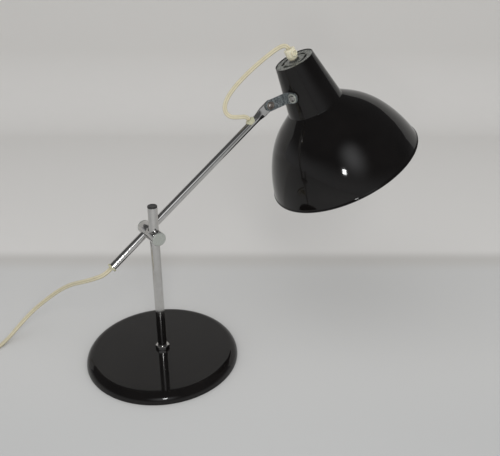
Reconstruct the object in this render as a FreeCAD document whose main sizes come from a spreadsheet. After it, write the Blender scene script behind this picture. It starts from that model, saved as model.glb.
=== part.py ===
"""Desk lamp with a round weighted base, a chrome post, a friction clamp,
a sliding arm and a spun metal shade on a two-way strap hinge.

Millimetres, Z up. The origin is the centre of the base's underside, and the
arm lies over the X axis. Every size is a cell of the sheet "Sizes".
"""
import FreeCAD, Part
import math
import os
import Sketcher

Vector = FreeCAD.Vector
Placement = FreeCAD.Placement
Rotation = FreeCAD.Rotation

DRIVING_SIZES = {
    # Clearances
    "seat_gap": 0.05,
    "running_gap": 0.05,
    "body_gap": 0.3,
    # Base: felt, cast weight and spun cover
    "base_radius": 100.0,
    "base_top": 12.0,
    "base_shoulder": 11.6,
    "cover_wall": 1.2,
    "felt_inset": 7.0,
    "felt_thickness": 1.6,
    "weight_recess_radius": 15.0,
    "weight_recess_top": 8.0,
    # Post and its fastening
    "post_radius": 6.0,
    "post_wall": 1.5,
    "post_foot": 2.2,
    "post_top": 217.0,
    "post_cap_head": 2.0,
    "post_cap_plug": 8.0,
    "foot_nut_flats": 16.0,
    "foot_nut_height": 4.8,
    "lock_nut_flats": 19.0,
    "lock_nut_height": 4.0,
    "lock_washer_radius": 12.5,
    "lock_washer_thickness": 1.5,
    # Friction clamp
    "clamp_below_top": 37.5,
    "barrel_radius": 8.7,
    "barrel_front": 14.5,
    "barrel_rear": 30.0,
    "rod_distance": 17.0,
    "block_seam": 8.5,
    "seam_chamfer": 0.6,
    "thrust_washer_thickness": 0.5,
    "thrust_washer_radius": 6.6,
    "liner_wall": 0.5,
    "post_liner_half": 3.5,
    "arm_liner_half": 4.7,
    "pad_radius": 4.4,
    "pad_thickness": 1.9,
    "disc_spring_thickness": 0.4,
    "disc_spring_cone": 0.4,
    "disc_spring_hole": 1.6,
    "end_cap_head": 2.0,
    "end_cap_plug": 1.0,
    "end_cap_chamfer": 0.7,
    "pivot_radius": 2.0,
    "pivot_head_radius": 3.1,
    "pivot_head_thickness": 0.6,
    # Arm tube with its flattened end
    "arm_radius": 5.0,
    "arm_wall": 1.0,
    "arm_foot": 62.5,
    "flat_full": 212.0,
    "flat_thickness": 2.4,
    "flattening": 15.0,
    "flat_to_pivot": 11.5,
    "grommet_to_flat": 7.0,
    "grommet_hole": 3.6,
    "grommet_flange_radius": 6.3,
    "grommet_flange_height": 1.8,
    "grommet_saddle": 1.5,
    "bush_flange_radius": 6.2,
    "bush_flange": 2.7,
    "bush_spigot": 8.0,
    # Strap hinge
    "strap_width": 15.0,
    "strap_thickness": 1.8,
    "strap_reach": 24.6,
    "tab_reach": 9.6,
    "strap_bend_radius": 1.5,
    "hinge_washer_thickness": 0.4,
    "hinge_washer_radius": 6.8,
    "eyelet_radius": 3.4,
    "eyelet_bore": 2.5,
    "eyelet_flange_radius": 5.3,
    "eyelet_flange": 1.1,
    "tilt_screw_radius": 2.5,
    "tilt_screw_head_radius": 4.4,
    "tilt_screw_head_height": 2.4,
    "tilt_washer_radius": 6.4,
    "tilt_washer_thickness": 0.9,
    "tilt_spacer_thickness": 1.1,
    "tilt_screw_tail": 1.0,
    "tilt_nut_flats": 8.0,
    "tilt_nut_height": 4.0,
    # Shade: tapered neck and flared dome in one spun piece
    "neck_top_radius": 26.4,
    "neck_length": 68.0,
    "neck_foot_radius": 38.7,
    "shade_wall": 0.9,
    "dome_flank": 21.1,
    "dome_flank_angle": 53.2,
    "dome_arc_radius": 118.0,
    "dome_arc_end": 32.5,
    "rim_arc_radius": 183.0,
    "rim_angle": 13.3,
    "shade_length": 168.1,
    "rim_bead": 1.3,
    "junction_fillet": 2.0,
    "tilt_place": 36.7,
    # Neck cap, cord grip and lampholder
    "cap_recess": 0.8,
    "cap_thickness": 1.4,
    "cap_skirt": 8.0,
    "cap_slot_inner": 14.0,
    "cap_slot_outer": 18.0,
    "cap_slot_angle": 66.0,
    "cap_slots": 4,
    "nipple_radius": 5.0,
    "nipple_bore": 3.3,
    "nipple_top": 3.5,
    "nipple_foot": 16.0,
    "cap_nut_flats": 14.0,
    "cap_nut_height": 2.6,
    "grip_top": 15.5,
    "grip_top_radius": 7.4,
    "grip_foot_radius": 6.2,
    "grip_waist": 6.0,
    "grip_boss_radius": 4.4,
    "grip_boss_reach": 9.0,
    "grip_boss_height": 9.6,
    "grip_screw_radius": 2.6,
    "grip_screw_head": 0.9,
    "holder_radius": 20.0,
    "holder_neck_radius": 16.0,
    "holder_wall": 2.2,
    "holder_joint": 26.0,
    "holder_foot": 58.0,
    "insert_radius": 15.0,
    "insert_top": 17.5,
    "insert_foot": 28.5,
    "contact_thickness": 0.6,
    "contact_width": 6.0,
    "contact_drop": 2.4,
    # Bulb
    "bulb_radius": 30.0,
    "bulb_length": 105.0,
    "bulb_cap_radius": 13.2,
    "bulb_cap_length": 27.2,
    "bulb_cap_edge": 2.0,
    "bulb_cap_taper": 3.0,
    "bulb_stem_radius": 13.0,
    "bulb_wall": 1.0,
    # Flex, in-line switch and plug
    "cord_radius": 2.5,
    "switch_length": 62.0,
    "switch_width": 27.0,
    "switch_height": 15.0,
    "switch_split": 7.0,
    "switch_cord_height": 5.0,
    "switch_edge": 2.0,
    "rocker_length": 15.0,
    "rocker_width": 9.4,
    "rocker_skirt": 1.2,
    "rocker_keel": 2.4,
    "rocker_horn": 2.5,
    "rocker_dip": 1.2,
    "rocker_room": 3.3,
    "rocker_pivot": 13.2,
    "rocker_throw": 8.0,
    "rocker_pin_radius": 0.9,
    "rocker_pin_reach": 1.0,
    "switch_screw_radius": 1.5,
    "switch_screw_head": 2.7,
    "switch_screw_spacing": 42.0,
    "plug_length": 36.0,
    "plug_width": 26.0,
    "plug_tail_width": 11.0,
    "plug_height": 13.6,
    "plug_edge": 2.6,
    "pin_radius": 2.0,
    "pin_length": 19.0,
    "pin_spacing": 18.6,
    # Coil of the flex
    "coil_inner": 19.0,
    "coil_step": 6.3,
    "coil_layer_step": 5.8,
    "coil_loops": 3,
}

# Rest pose in degrees: how each joint stands in the photographed lamp
ARM_ELEVATION = 35.95
ARM_ROLL = 6.46
HINGE_FOLD = 21.96
STRAP_BEND = 67.6
SHADE_TURN = 7.3
GRIP_TURN = 70.0
TABLE_TURN = -33.21

# Where the switch, the coil and the plug lie on the table
SWITCH_PLACE = (-254.6, 157.2, 0.0)
COIL_PLACE = (-302.7, 114.5, 0.0)
PLUG_PLACE = (-257.7, 68.3, 0.0)

# Route of the flex from the arm's lower end down to the switch
MAINS_ROUTE = [
    (-61.72, 17.0, 134.73),
    (-70.0, 32.5, 124.5),
    (-79.0, 54.0, 112.0),
    (-86.5, 80.0, 98.0),
    (-96.5, 105.0, 80.0),
    (-110.5, 127.5, 58.0),
    (-126.5, 146.0, 36.0),
    (-146.0, 150.5, 17.5),
    (-166.0, 143.5, 6.0),
    (-182.0, 134.5, 2.7),
    (-199.0, 130.5, 2.7),
    (-215.7, 131.74, 5.0),
]

# Route of the flex from the cord grip on the shade to the grommet in the arm
LEAD_ROUTE = [
    (213.55, 25.99, 382.0),
    (207.9, 28.9, 383.2),
    (199.4, 31.3, 377.9),
    (186.6, 33.4, 369.0),
    (170.4, 35.4, 358.2),
    (154.2, 37.4, 345.9),
    (138.9, 38.5, 332.6),
    (127.6, 37.3, 320.3),
    (121.6, 31.9, 309.9),
    (124.7, 25.6, 301.9),
    (135.9, 19.6, 301.2),
    (146.6, 18.4, 300.98),
]

# Short leads between the switch, the coil and the plug
SWITCH_LEAD_ROUTE = [
    (-290.0, 180.37, 5.0),
    (-302.0, 176.8, 3.6),
    (-311.6, 165.7, 2.9),
    (-319.75, 151.95, 2.6),
]
PLUG_LEAD_ROUTE = [
    (-263.8, 110.5, 8.3),
    (-252.5, 116.3, 8.0),
    (-242.0, 112.4, 7.6),
    (-238.0, 102.0, 7.2),
    (-241.8, 92.6, 7.1),
]


class Size:
    """A length or angle with the sheet expression that yields it."""

    def __init__(self, value, text):
        self.value = float(value)
        self.text = text

    def __float__(self):
        return self.value

    def __add__(self, other):
        return Size(self.value + float(other), f"({self.text} + {text_of(other)})")

    def __radd__(self, other):
        return Size(float(other) + self.value, f"({text_of(other)} + {self.text})")

    def __sub__(self, other):
        return Size(self.value - float(other), f"({self.text} - {text_of(other)})")

    def __rsub__(self, other):
        return Size(float(other) - self.value, f"({text_of(other)} - {self.text})")

    def __mul__(self, other):
        return Size(self.value * float(other), f"({self.text} * {text_of(other)})")

    def __rmul__(self, other):
        return Size(float(other) * self.value, f"({text_of(other)} * {self.text})")

    def __truediv__(self, other):
        return Size(self.value / float(other), f"({self.text} / {text_of(other)})")

    def __neg__(self):
        return Size(-self.value, f"(0 - {self.text})")


def text_of(number):
    """The expression of a size, or a plain number written out."""
    return number.text if isinstance(number, Size) else f"{float(number):.9g}"


class Sheet:
    """The spreadsheet of sizes, read as attributes."""

    def __init__(self, document, sizes):
        self.cells = document.addObject("Spreadsheet::Sheet", "Sizes")
        self.sizes = {}
        self.rows = 0
        for name, number in sizes.items():
            self.add(name, number)

    def add(self, name, number):
        """Writes one more row: its name and its value under that alias."""
        self.rows += 1
        self.cells.set(f"A{self.rows}", name)
        self.cells.set(f"B{self.rows}", f"{float(number):.9g}")
        self.cells.setAlias(f"B{self.rows}", name)
        self.sizes[name] = Size(number, f"Sizes.{name}")
        return self.sizes[name]

    def __getattr__(self, name):
        return self.sizes[name]


doc = FreeCAD.newDocument("DeskLamp")
S = Sheet(doc, DRIVING_SIZES)
doc.recompute()
NODES = []

# How far a cut runs past the face it starts from
CUT_MARGIN = 1.0
# A quarter and a half of a full turn in degrees
QUARTER_TURN = 90.0
HALF_TURN = 180.0
# Half angle of the arcs that the arm's round section has on its two flattened sides
SECTION_SPLIT = 50.0
# Angle from the bulb's axis at which its round part runs into its neck
BULB_LEAN = 52.0
# Rounding of a plug pin's end as a share of its radius
PIN_ROUNDING = 0.6


# Sketches

def vector(x, y, z=0.0):
    return Vector(float(x), float(y), float(z))


def arc_between(start, end, radius):
    """Arc from start to end; a positive radius turns left, a negative one right."""
    chord = end - start
    middle = (start + end) * 0.5
    left = Vector(-chord.y, chord.x, 0).normalize()
    rise = math.sqrt(max(radius * radius - chord.Length ** 2 / 4, 0.0))
    centre = middle + left * (rise if radius > 0 else -rise)
    circle = Part.Circle(centre, Vector(0, 0, 1), abs(radius))
    first, last = (start, end) if radius > 0 else (end, start)
    return Part.ArcOfCircle(circle, circle.parameter(first), circle.parameter(last))


def bind(sketch, constraint, size):
    """Adds a constraint and ties it to the sheet where its size is a Size."""
    index = sketch.addConstraint(constraint)
    if isinstance(size, Size):
        sketch.setExpression(f"Constraints[{index}]", size.text)


def pin_coordinate(sketch, geometry, position, is_x, size):
    """Fixes the x or the y of a point of the sketch."""
    kind, axis = ("DistanceX", -2) if is_x else ("DistanceY", -1)
    if abs(float(size)) < 1e-9:
        sketch.addConstraint(Sketcher.Constraint("PointOnObject", geometry, position, axis))
    else:
        bind(sketch, Sketcher.Constraint(kind, -1, 1, geometry, position, float(size)), size)


def pin_point(sketch, geometry, position, x, y):
    """Fixes a point at x, y of the sketch."""
    pin_coordinate(sketch, geometry, position, True, x)
    pin_coordinate(sketch, geometry, position, False, y)


def add_circle(sketch, x, y, radius):
    circle = Part.Circle(vector(x, y), Vector(0, 0, 1), float(radius))
    geometry = sketch.addGeometry(circle, False)
    pin_point(sketch, geometry, 3, x, y)
    bind(sketch, Sketcher.Constraint("Radius", geometry, float(radius)), radius)


def add_loop(sketch, corners):
    """A closed outline. A corner (x, y, radius) starts an arc to the next one.

    A corner (x, y, radius, centre) is held by its centre's place across the chord.
    """
    points = [vector(corner[0], corner[1]) for corner in corners]
    count = len(corners)
    first = sketch.GeometryCount
    ends = []
    for index, corner in enumerate(corners):
        start, end = points[index], points[(index + 1) % count]
        if len(corner) > 2:
            sketch.addGeometry(arc_between(start, end, float(corner[2])), False)
            ends.append((1, 2) if float(corner[2]) > 0 else (2, 1))
        else:
            sketch.addGeometry(Part.LineSegment(start, end), False)
            ends.append((1, 2))
    for index in range(count):
        following = (index + 1) % count
        sketch.addConstraint(Sketcher.Constraint(
            "Coincident", first + index, ends[index][1], first + following, ends[following][0]))
    for index, corner in enumerate(corners):
        pin_point(sketch, first + index, ends[index][0], corner[0], corner[1])
        if len(corner) == 4:
            chord = points[(index + 1) % count] - points[index]
            pin_coordinate(sketch, first + index, 3, abs(chord.x) < abs(chord.y), corner[3])
        elif len(corner) == 3:
            radius = corner[2]
            if isinstance(radius, Size) and radius.value < 0:
                radius = -radius
            constraint = Sketcher.Constraint("Radius", first + index, abs(float(radius)))
            bind(sketch, constraint, radius)


def make_sketch(body, plane, loops=(), circles=(), offset=None):
    """A sketch on one of the body's own planes with outlines and circles."""
    sketch = body.newObject("Sketcher::SketchObject", "Sketch")
    support = [item for item in body.Origin.OriginFeatures if item.Role == plane][0]
    sketch.AttachmentSupport = [(support, "")]
    sketch.MapMode = "FlatFace"
    if offset is not None:
        sketch.AttachmentOffset = offset
    for loop in loops:
        add_loop(sketch, loop)
    for circle in circles:
        add_circle(sketch, *circle)
    return sketch


def lifted(height):
    """Placement raised along Z, as a sketch's offset or a piece's own place."""
    return Placement(vector(0, 0, height), Rotation())


# Features

def new_body(label, place):
    body = doc.addObject("PartDesign::Body", label)
    body.Label = label
    body.Placement = place
    NODES.append(body)
    return body


def spin(body, sketch):
    """Full revolution about the sketch's vertical axis."""
    turn = body.newObject("PartDesign::Revolution", "Turned")
    turn.Profile = sketch
    turn.ReferenceAxis = (sketch, ["V_Axis"])
    turn.Angle = 360
    return turn


def groove(body, sketch):
    """Full turned cut about the sketch's vertical axis."""
    cut = body.newObject("PartDesign::Groove", "Grooved")
    cut.Profile = sketch
    cut.ReferenceAxis = (sketch, ["V_Axis"])
    cut.Angle = 360
    return cut


def extrude(body, sketch, length, symmetric=False, reverse=False):
    pad = body.newObject("PartDesign::Pad", "Padded")
    pad.Profile = sketch
    if isinstance(length, Size):
        pad.setExpression("Length", length.text)
    pad.Length = float(length)
    pad.SideType = "Symmetric" if symmetric else "One side"
    pad.Reversed = reverse
    return pad


def cut_out(body, sketch, length=None, reverse=False):
    """A pocket of the given depth or, with no depth, right through both ways."""
    pocket = body.newObject("PartDesign::Pocket", "Cut")
    pocket.Profile = sketch
    if length is None:
        pocket.Type = "ThroughAll"
        pocket.SideType = "Symmetric"
    else:
        if isinstance(length, Size):
            pocket.setExpression("Length", length.text)
        pocket.Length = float(length)
        pocket.Reversed = reverse
    return pocket


def edges_where(shape, test):
    """Names of the edges whose centre of mass passes the test."""
    names = []
    for index, edge in enumerate(shape.Edges):
        if test(edge):
            names.append(f"Edge{index + 1}")
    return names


def dress(body, kind, size, test):
    """A fillet or chamfer on the edges of the body's tip that pass the test."""
    doc.recompute()
    base = body.Tip
    names = edges_where(base.Shape, test)
    feature = body.newObject(f"PartDesign::{kind}", kind)
    feature.Base = (base, names)
    prop = "Radius" if kind == "Fillet" else "Size"
    if isinstance(size, Size):
        feature.setExpression(prop, size.text)
    setattr(feature, prop, float(size))
    return feature


def turned(label, corners, place):
    """A turned piece: corners are (radius, height) pairs in its own frame."""
    body = new_body(label, place)
    spin(body, make_sketch(body, "XZ_Plane", [corners]))
    return body


def hexagon(flats):
    """Corners of a hexagon with two of its flats square to X."""
    half = flats / 2
    corner = flats / math.sqrt(3)
    side = corner / 2
    return [(half, -side), (half, side), (0, corner), (-half, side), (-half, -side), (0, -corner)]


def nut(label, flats, bore, height, place):
    """A hexagon nut from its lower face up, with its outer corners turned off."""
    body = new_body(label, place)
    extrude(body, make_sketch(body, "XY_Plane", [hexagon(flats)], [(0, 0, bore)]), height)
    flat = flats / 2
    slope = flats * 0.075
    for low, high in ((height, height - slope), (0.0, slope)):
        groove(body, make_sketch(body, "XZ_Plane", [[
            (flat, low), (flats * 0.6, low), (flats * 0.6, high)]]))
    return body


def ring(label, inner, outer, low, high, place):
    """A plain washer or sleeve."""
    return turned(label, [(inner, low), (outer, low), (outer, high), (inner, high)], place)


def framed(origin, x_axis, z_axis):
    """Placement at origin whose X and Z point as given."""
    return Placement(origin, Rotation(x_axis, z_axis.cross(x_axis), z_axis, "ZXY"))


def turned_about(direction, axis, angle):
    """A direction turned about an axis by degrees."""
    return Rotation(axis, angle).multVec(direction)


# Frames of the moving groups, from the post out to the shade

GROUND = Placement()
UP = Vector(0, 0, 1)
FRONT = Vector(0, -1, 0)
CLAMP_HEIGHT = S.post_top - S.clamp_below_top
CLAMP_CENTRE = vector(0, 0, CLAMP_HEIGHT)
BARREL = framed(CLAMP_CENTRE, Vector(1, 0, 0), FRONT)

ALONG = Vector(math.cos(math.radians(ARM_ELEVATION)), 0, math.sin(math.radians(ARM_ELEVATION)))
ARM_ORIGIN = CLAMP_CENTRE - FRONT * float(S.rod_distance)
FLAT_NORMAL = turned_about(FRONT, ALONG, -ARM_ROLL)
ARM = framed(ARM_ORIGIN, FLAT_NORMAL, ALONG)

FLAT_START = S.flat_full - S.flattening
ARM_PIVOT = S.flat_full + S.flat_to_pivot
GROMMET_PLACE = FLAT_START - S.grommet_to_flat
HINGE_POINT = ARM_ORIGIN + ALONG * float(ARM_PIVOT)
STRAP_ALONG = turned_about(ALONG, FLAT_NORMAL, -HINGE_FOLD)
HINGE = framed(HINGE_POINT, STRAP_ALONG, FLAT_NORMAL)

FLAT_HALF = S.flat_thickness / 2
STRAP_LOW = FLAT_HALF + S.seat_gap + S.hinge_washer_thickness + S.seat_gap
STRAP_TOP = STRAP_LOW + S.strap_thickness

BEND_POINT = HINGE.multVec(vector(S.strap_reach, 0, STRAP_TOP))
BEND_AXIS = HINGE.Rotation.multVec(Vector(0, 1, 0))
TAB_ALONG = turned_about(STRAP_ALONG, BEND_AXIS, -STRAP_BEND)
TAB_NORMAL = turned_about(FLAT_NORMAL, BEND_AXIS, -STRAP_BEND)
TAB_POINT = BEND_POINT + TAB_ALONG * float(S.tab_reach)
TAB = framed(TAB_POINT, TAB_ALONG, TAB_NORMAL)

TAB_STACK = S.strap_thickness + S.seat_gap + S.tilt_spacer_thickness + S.seat_gap
NECK_TAPER = math.atan2(float(S.neck_foot_radius - S.neck_top_radius), float(S.neck_length))
NECK_SLOPE = (S.neck_foot_radius - S.neck_top_radius) / S.neck_length
TILT_RADIUS = S.neck_top_radius + NECK_SLOPE * S.tilt_place
NECK_LINE = turned_about(BEND_AXIS, TAB_NORMAL, SHADE_TURN)
if NECK_LINE.z > 0:
    NECK_LINE = -NECK_LINE
SHADE_AXIS = NECK_LINE * math.cos(NECK_TAPER) - TAB_NORMAL * math.sin(NECK_TAPER)
SHADE_SIDE = NECK_LINE * math.sin(NECK_TAPER) + TAB_NORMAL * math.cos(NECK_TAPER)
NECK_POINT = TAB_POINT - TAB_NORMAL * float(TAB_STACK)
CAP_CENTRE = NECK_POINT - SHADE_AXIS * float(S.tilt_place) - SHADE_SIDE * float(TILT_RADIUS)
SHADE = framed(CAP_CENTRE, SHADE_SIDE, SHADE_AXIS)

TABLE = Rotation(UP, TABLE_TURN)
SWITCH = Placement(vector(*SWITCH_PLACE), TABLE)
COIL = Placement(vector(*COIL_PLACE), TABLE)
PLUG = Placement(vector(*PLUG_PLACE), Rotation(UP, TABLE_TURN - QUARTER_TURN))


# Base and post

def build_base():
    hole = S.post_radius + S.seat_gap
    top = S.base_top
    low = top - S.base_shoulder
    flat = S.base_radius - S.base_shoulder
    inner = S.base_shoulder - S.cover_wall
    turned("base_cover", [
        (hole, top - S.cover_wall), (flat, top - S.cover_wall, -inner),
        (S.base_radius - S.cover_wall, low), (S.base_radius, low, S.base_shoulder),
        (flat, top), (hole, top)], GROUND)

    weight_top = top - S.cover_wall - S.seat_gap
    weight_low = S.felt_thickness + S.seat_gap
    shoulder = inner - S.seat_gap
    drop = float(weight_low - low)
    reach = S.add("weight_foot_radius", float(flat) + math.sqrt(float(shoulder) ** 2 - drop ** 2))
    turned("base_weight", [
        (S.weight_recess_radius, weight_low), (reach, weight_low, shoulder),
        (flat, weight_top), (hole, weight_top),
        (hole, S.weight_recess_top), (S.weight_recess_radius, S.weight_recess_top)], GROUND)

    felt = S.base_radius - S.felt_inset
    turned("base_felt", [(0, 0), (felt, 0), (felt, S.felt_thickness), (0, S.felt_thickness)],
           GROUND)

    washer_top = S.weight_recess_top - S.seat_gap
    washer_low = washer_top - S.lock_washer_thickness
    ring("lock_washer", hole, S.lock_washer_radius, washer_low, washer_top, GROUND)
    lock_place = lifted(washer_low - S.seat_gap - S.lock_nut_height)
    nut("lock_nut", S.lock_nut_flats, hole, S.lock_nut_height, lock_place)
    nut("foot_nut", S.foot_nut_flats, hole, S.foot_nut_height, lifted(top + S.seat_gap))


def build_post():
    bore = S.post_radius - S.post_wall
    ring("post", bore, S.post_radius, S.post_foot, S.post_top, GROUND)
    head_low = S.post_top + S.seat_gap
    head_top = S.post_top + S.post_cap_head
    plug = bore - S.seat_gap
    edge = S.seat_gap * 6
    turned("post_cap", [
        (0, S.post_top - S.post_cap_plug), (plug, S.post_top - S.post_cap_plug),
        (plug, head_low), (S.post_radius, head_low), (S.post_radius, head_top - edge),
        (S.post_radius - edge, head_top), (0, head_top)], GROUND)


# Friction clamp

def cross_groove(body, rod, half, centre, turn):
    """The bore for a rod through a clamp block, with the pocket of its liner."""
    offset = Placement(vector(0, 0, centre), Rotation(UP, turn))
    bore = rod + S.running_gap
    pocket = rod + S.running_gap * 2 + S.liner_wall
    half_long = half + S.seat_gap
    tall = S.barrel_radius * 2
    groove(body, make_sketch(body, "XY_Plane", [[
        (0, -tall), (bore, -tall), (bore, -half_long), (pocket, -half_long),
        (pocket, half_long), (bore, half_long), (bore, tall), (0, tall)]], offset=offset))


def build_post_liner():
    inner = S.post_radius + S.running_gap
    ring("post_liner", inner, inner + S.liner_wall, -S.post_liner_half, S.post_liner_half,
         lifted(CLAMP_HEIGHT))


def build_front_block():
    body = new_body("front_block", BARREL)
    end = S.barrel_front - S.end_cap_head
    extrude(body, make_sketch(body, "XY_Plane", circles=[(0, 0, S.barrel_radius)],
                              offset=lifted(-S.block_seam)), end + S.block_seam)
    cut_out(body, make_sketch(body, "XY_Plane", circles=[(0, 0, S.pad_radius + S.running_gap)],
                              offset=lifted(end)), end)
    cross_groove(body, S.post_radius, S.post_liner_half, 0, 0)
    head_depth = S.post_radius + S.liner_wall + S.running_gap * 4 + S.pivot_head_thickness
    seat = S.pivot_head_radius + S.seat_gap
    shank = S.pivot_radius + S.seat_gap
    cut_out(body, make_sketch(body, "XY_Plane", circles=[(0, 0, seat)]), head_depth)
    cut_out(body, make_sketch(body, "XY_Plane", circles=[(0, 0, shank)]), S.block_seam + CUT_MARGIN)
    dress(body, "Chamfer", S.seam_chamfer, lambda edge: is_rim(edge, S.barrel_radius, -S.block_seam))


def is_rim(edge, radius, height):
    """True for a full circle of that radius round the local Z axis at that height."""
    curve = edge.Curve
    if not isinstance(curve, Part.Circle) or abs(curve.Radius - float(radius)) > 1e-4:
        return False
    return abs(curve.Center.z - float(height)) < 1e-4 and abs(curve.Center.x) < 1e-4


def build_rear_block():
    body = new_body("rear_block", BARREL)
    face = -(S.block_seam + S.thrust_washer_thickness + S.seat_gap * 2)
    end = -(S.barrel_rear - S.end_cap_head)
    extrude(body, make_sketch(body, "XY_Plane", circles=[(0, 0, S.barrel_radius)],
                              offset=lifted(end)), face - end)
    rod = -S.rod_distance
    cut_out(body, make_sketch(body, "XY_Plane", circles=[(0, 0, S.pad_radius + S.running_gap)],
                              offset=lifted(end)), rod - end, reverse=True)
    cross_groove(body, S.arm_radius, S.arm_liner_half, rod, ARM_ELEVATION - QUARTER_TURN)
    head_top = rod + S.arm_radius + S.liner_wall + S.running_gap * 4 + S.pivot_head_thickness
    seat = S.pivot_head_radius + S.seat_gap
    shank = S.pivot_radius + S.running_gap
    cut_out(body, make_sketch(body, "XY_Plane", circles=[(0, 0, seat)], offset=lifted(rod)),
            head_top - rod, reverse=True)
    cut_out(body, make_sketch(body, "XY_Plane", circles=[(0, 0, shank)], offset=lifted(rod)),
            S.rod_distance, reverse=True)
    dress(body, "Chamfer", S.seam_chamfer, lambda edge: is_rim(edge, S.barrel_radius, face))


def build_clamp_inside(prefix, rod, centre, end, sign, cross_turn):
    """Friction pad, disc spring and end cap behind one rod; sign is the way out."""
    surface = rod + S.liner_wall + S.running_gap * 2 + S.seat_gap
    flip = Rotation() if sign > 0 else Rotation(Vector(1, 0, 0), HALF_TURN)
    place = BARREL * Placement(vector(0, 0, centre), flip)
    body = new_body(prefix + "_pad", place)
    extrude(body, make_sketch(body, "XY_Plane", circles=[(0, 0, S.pad_radius)]),
            surface + S.pad_thickness)
    offset = Placement(Vector(), Rotation(UP, cross_turn))
    tall = S.barrel_radius * 2
    groove(body, make_sketch(body, "XY_Plane", [[(0, -tall), (surface, -tall), (surface, tall),
                                                 (0, tall)]], offset=offset))
    base = surface + S.pad_thickness + S.seat_gap
    thick = S.disc_spring_thickness
    turned(prefix + "_spring", [
        (S.disc_spring_hole, base + S.disc_spring_cone), (S.pad_radius, base),
        (S.pad_radius, base + thick), (S.disc_spring_hole, base + S.disc_spring_cone + thick)], place)
    face = end - S.end_cap_head + S.seat_gap
    turned(prefix + "_cap", [
        (0, face - S.end_cap_plug), (S.pad_radius, face - S.end_cap_plug), (S.pad_radius, face),
        (S.barrel_radius, face), (S.barrel_radius, end - S.end_cap_chamfer),
        (S.barrel_radius - S.end_cap_chamfer, end), (0, end)], place)


def build_clamp():
    build_post_liner()
    build_front_block()
    build_clamp_inside("front", S.post_radius, 0, S.barrel_front, 1, 0)
    build_rear_block()
    build_clamp_inside("rear", S.arm_radius, -S.rod_distance, S.barrel_rear - S.rod_distance, -1,
                       QUARTER_TURN - ARM_ELEVATION)
    high = -(S.post_radius + S.liner_wall + S.running_gap * 4)
    low = -(S.rod_distance - S.arm_radius - S.liner_wall - S.running_gap * 4)
    turned("pivot_rivet", [
        (0, low), (S.pivot_head_radius, low), (S.pivot_head_radius, low + S.pivot_head_thickness),
        (S.pivot_radius, low + S.pivot_head_thickness), (S.pivot_radius, high - S.pivot_head_thickness),
        (S.pivot_head_radius, high - S.pivot_head_thickness), (S.pivot_head_radius, high), (0, high)],
        BARREL)
    washer = -(S.block_seam + S.seat_gap)
    ring("thrust_washer", S.pivot_radius + S.running_gap, S.thrust_washer_radius,
         washer - S.thrust_washer_thickness, washer, BARREL)
    inner = S.arm_radius + S.running_gap
    ring("arm_liner", inner, inner + S.liner_wall, -S.arm_liner_half, S.arm_liner_half, ARM)


# Arm

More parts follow.
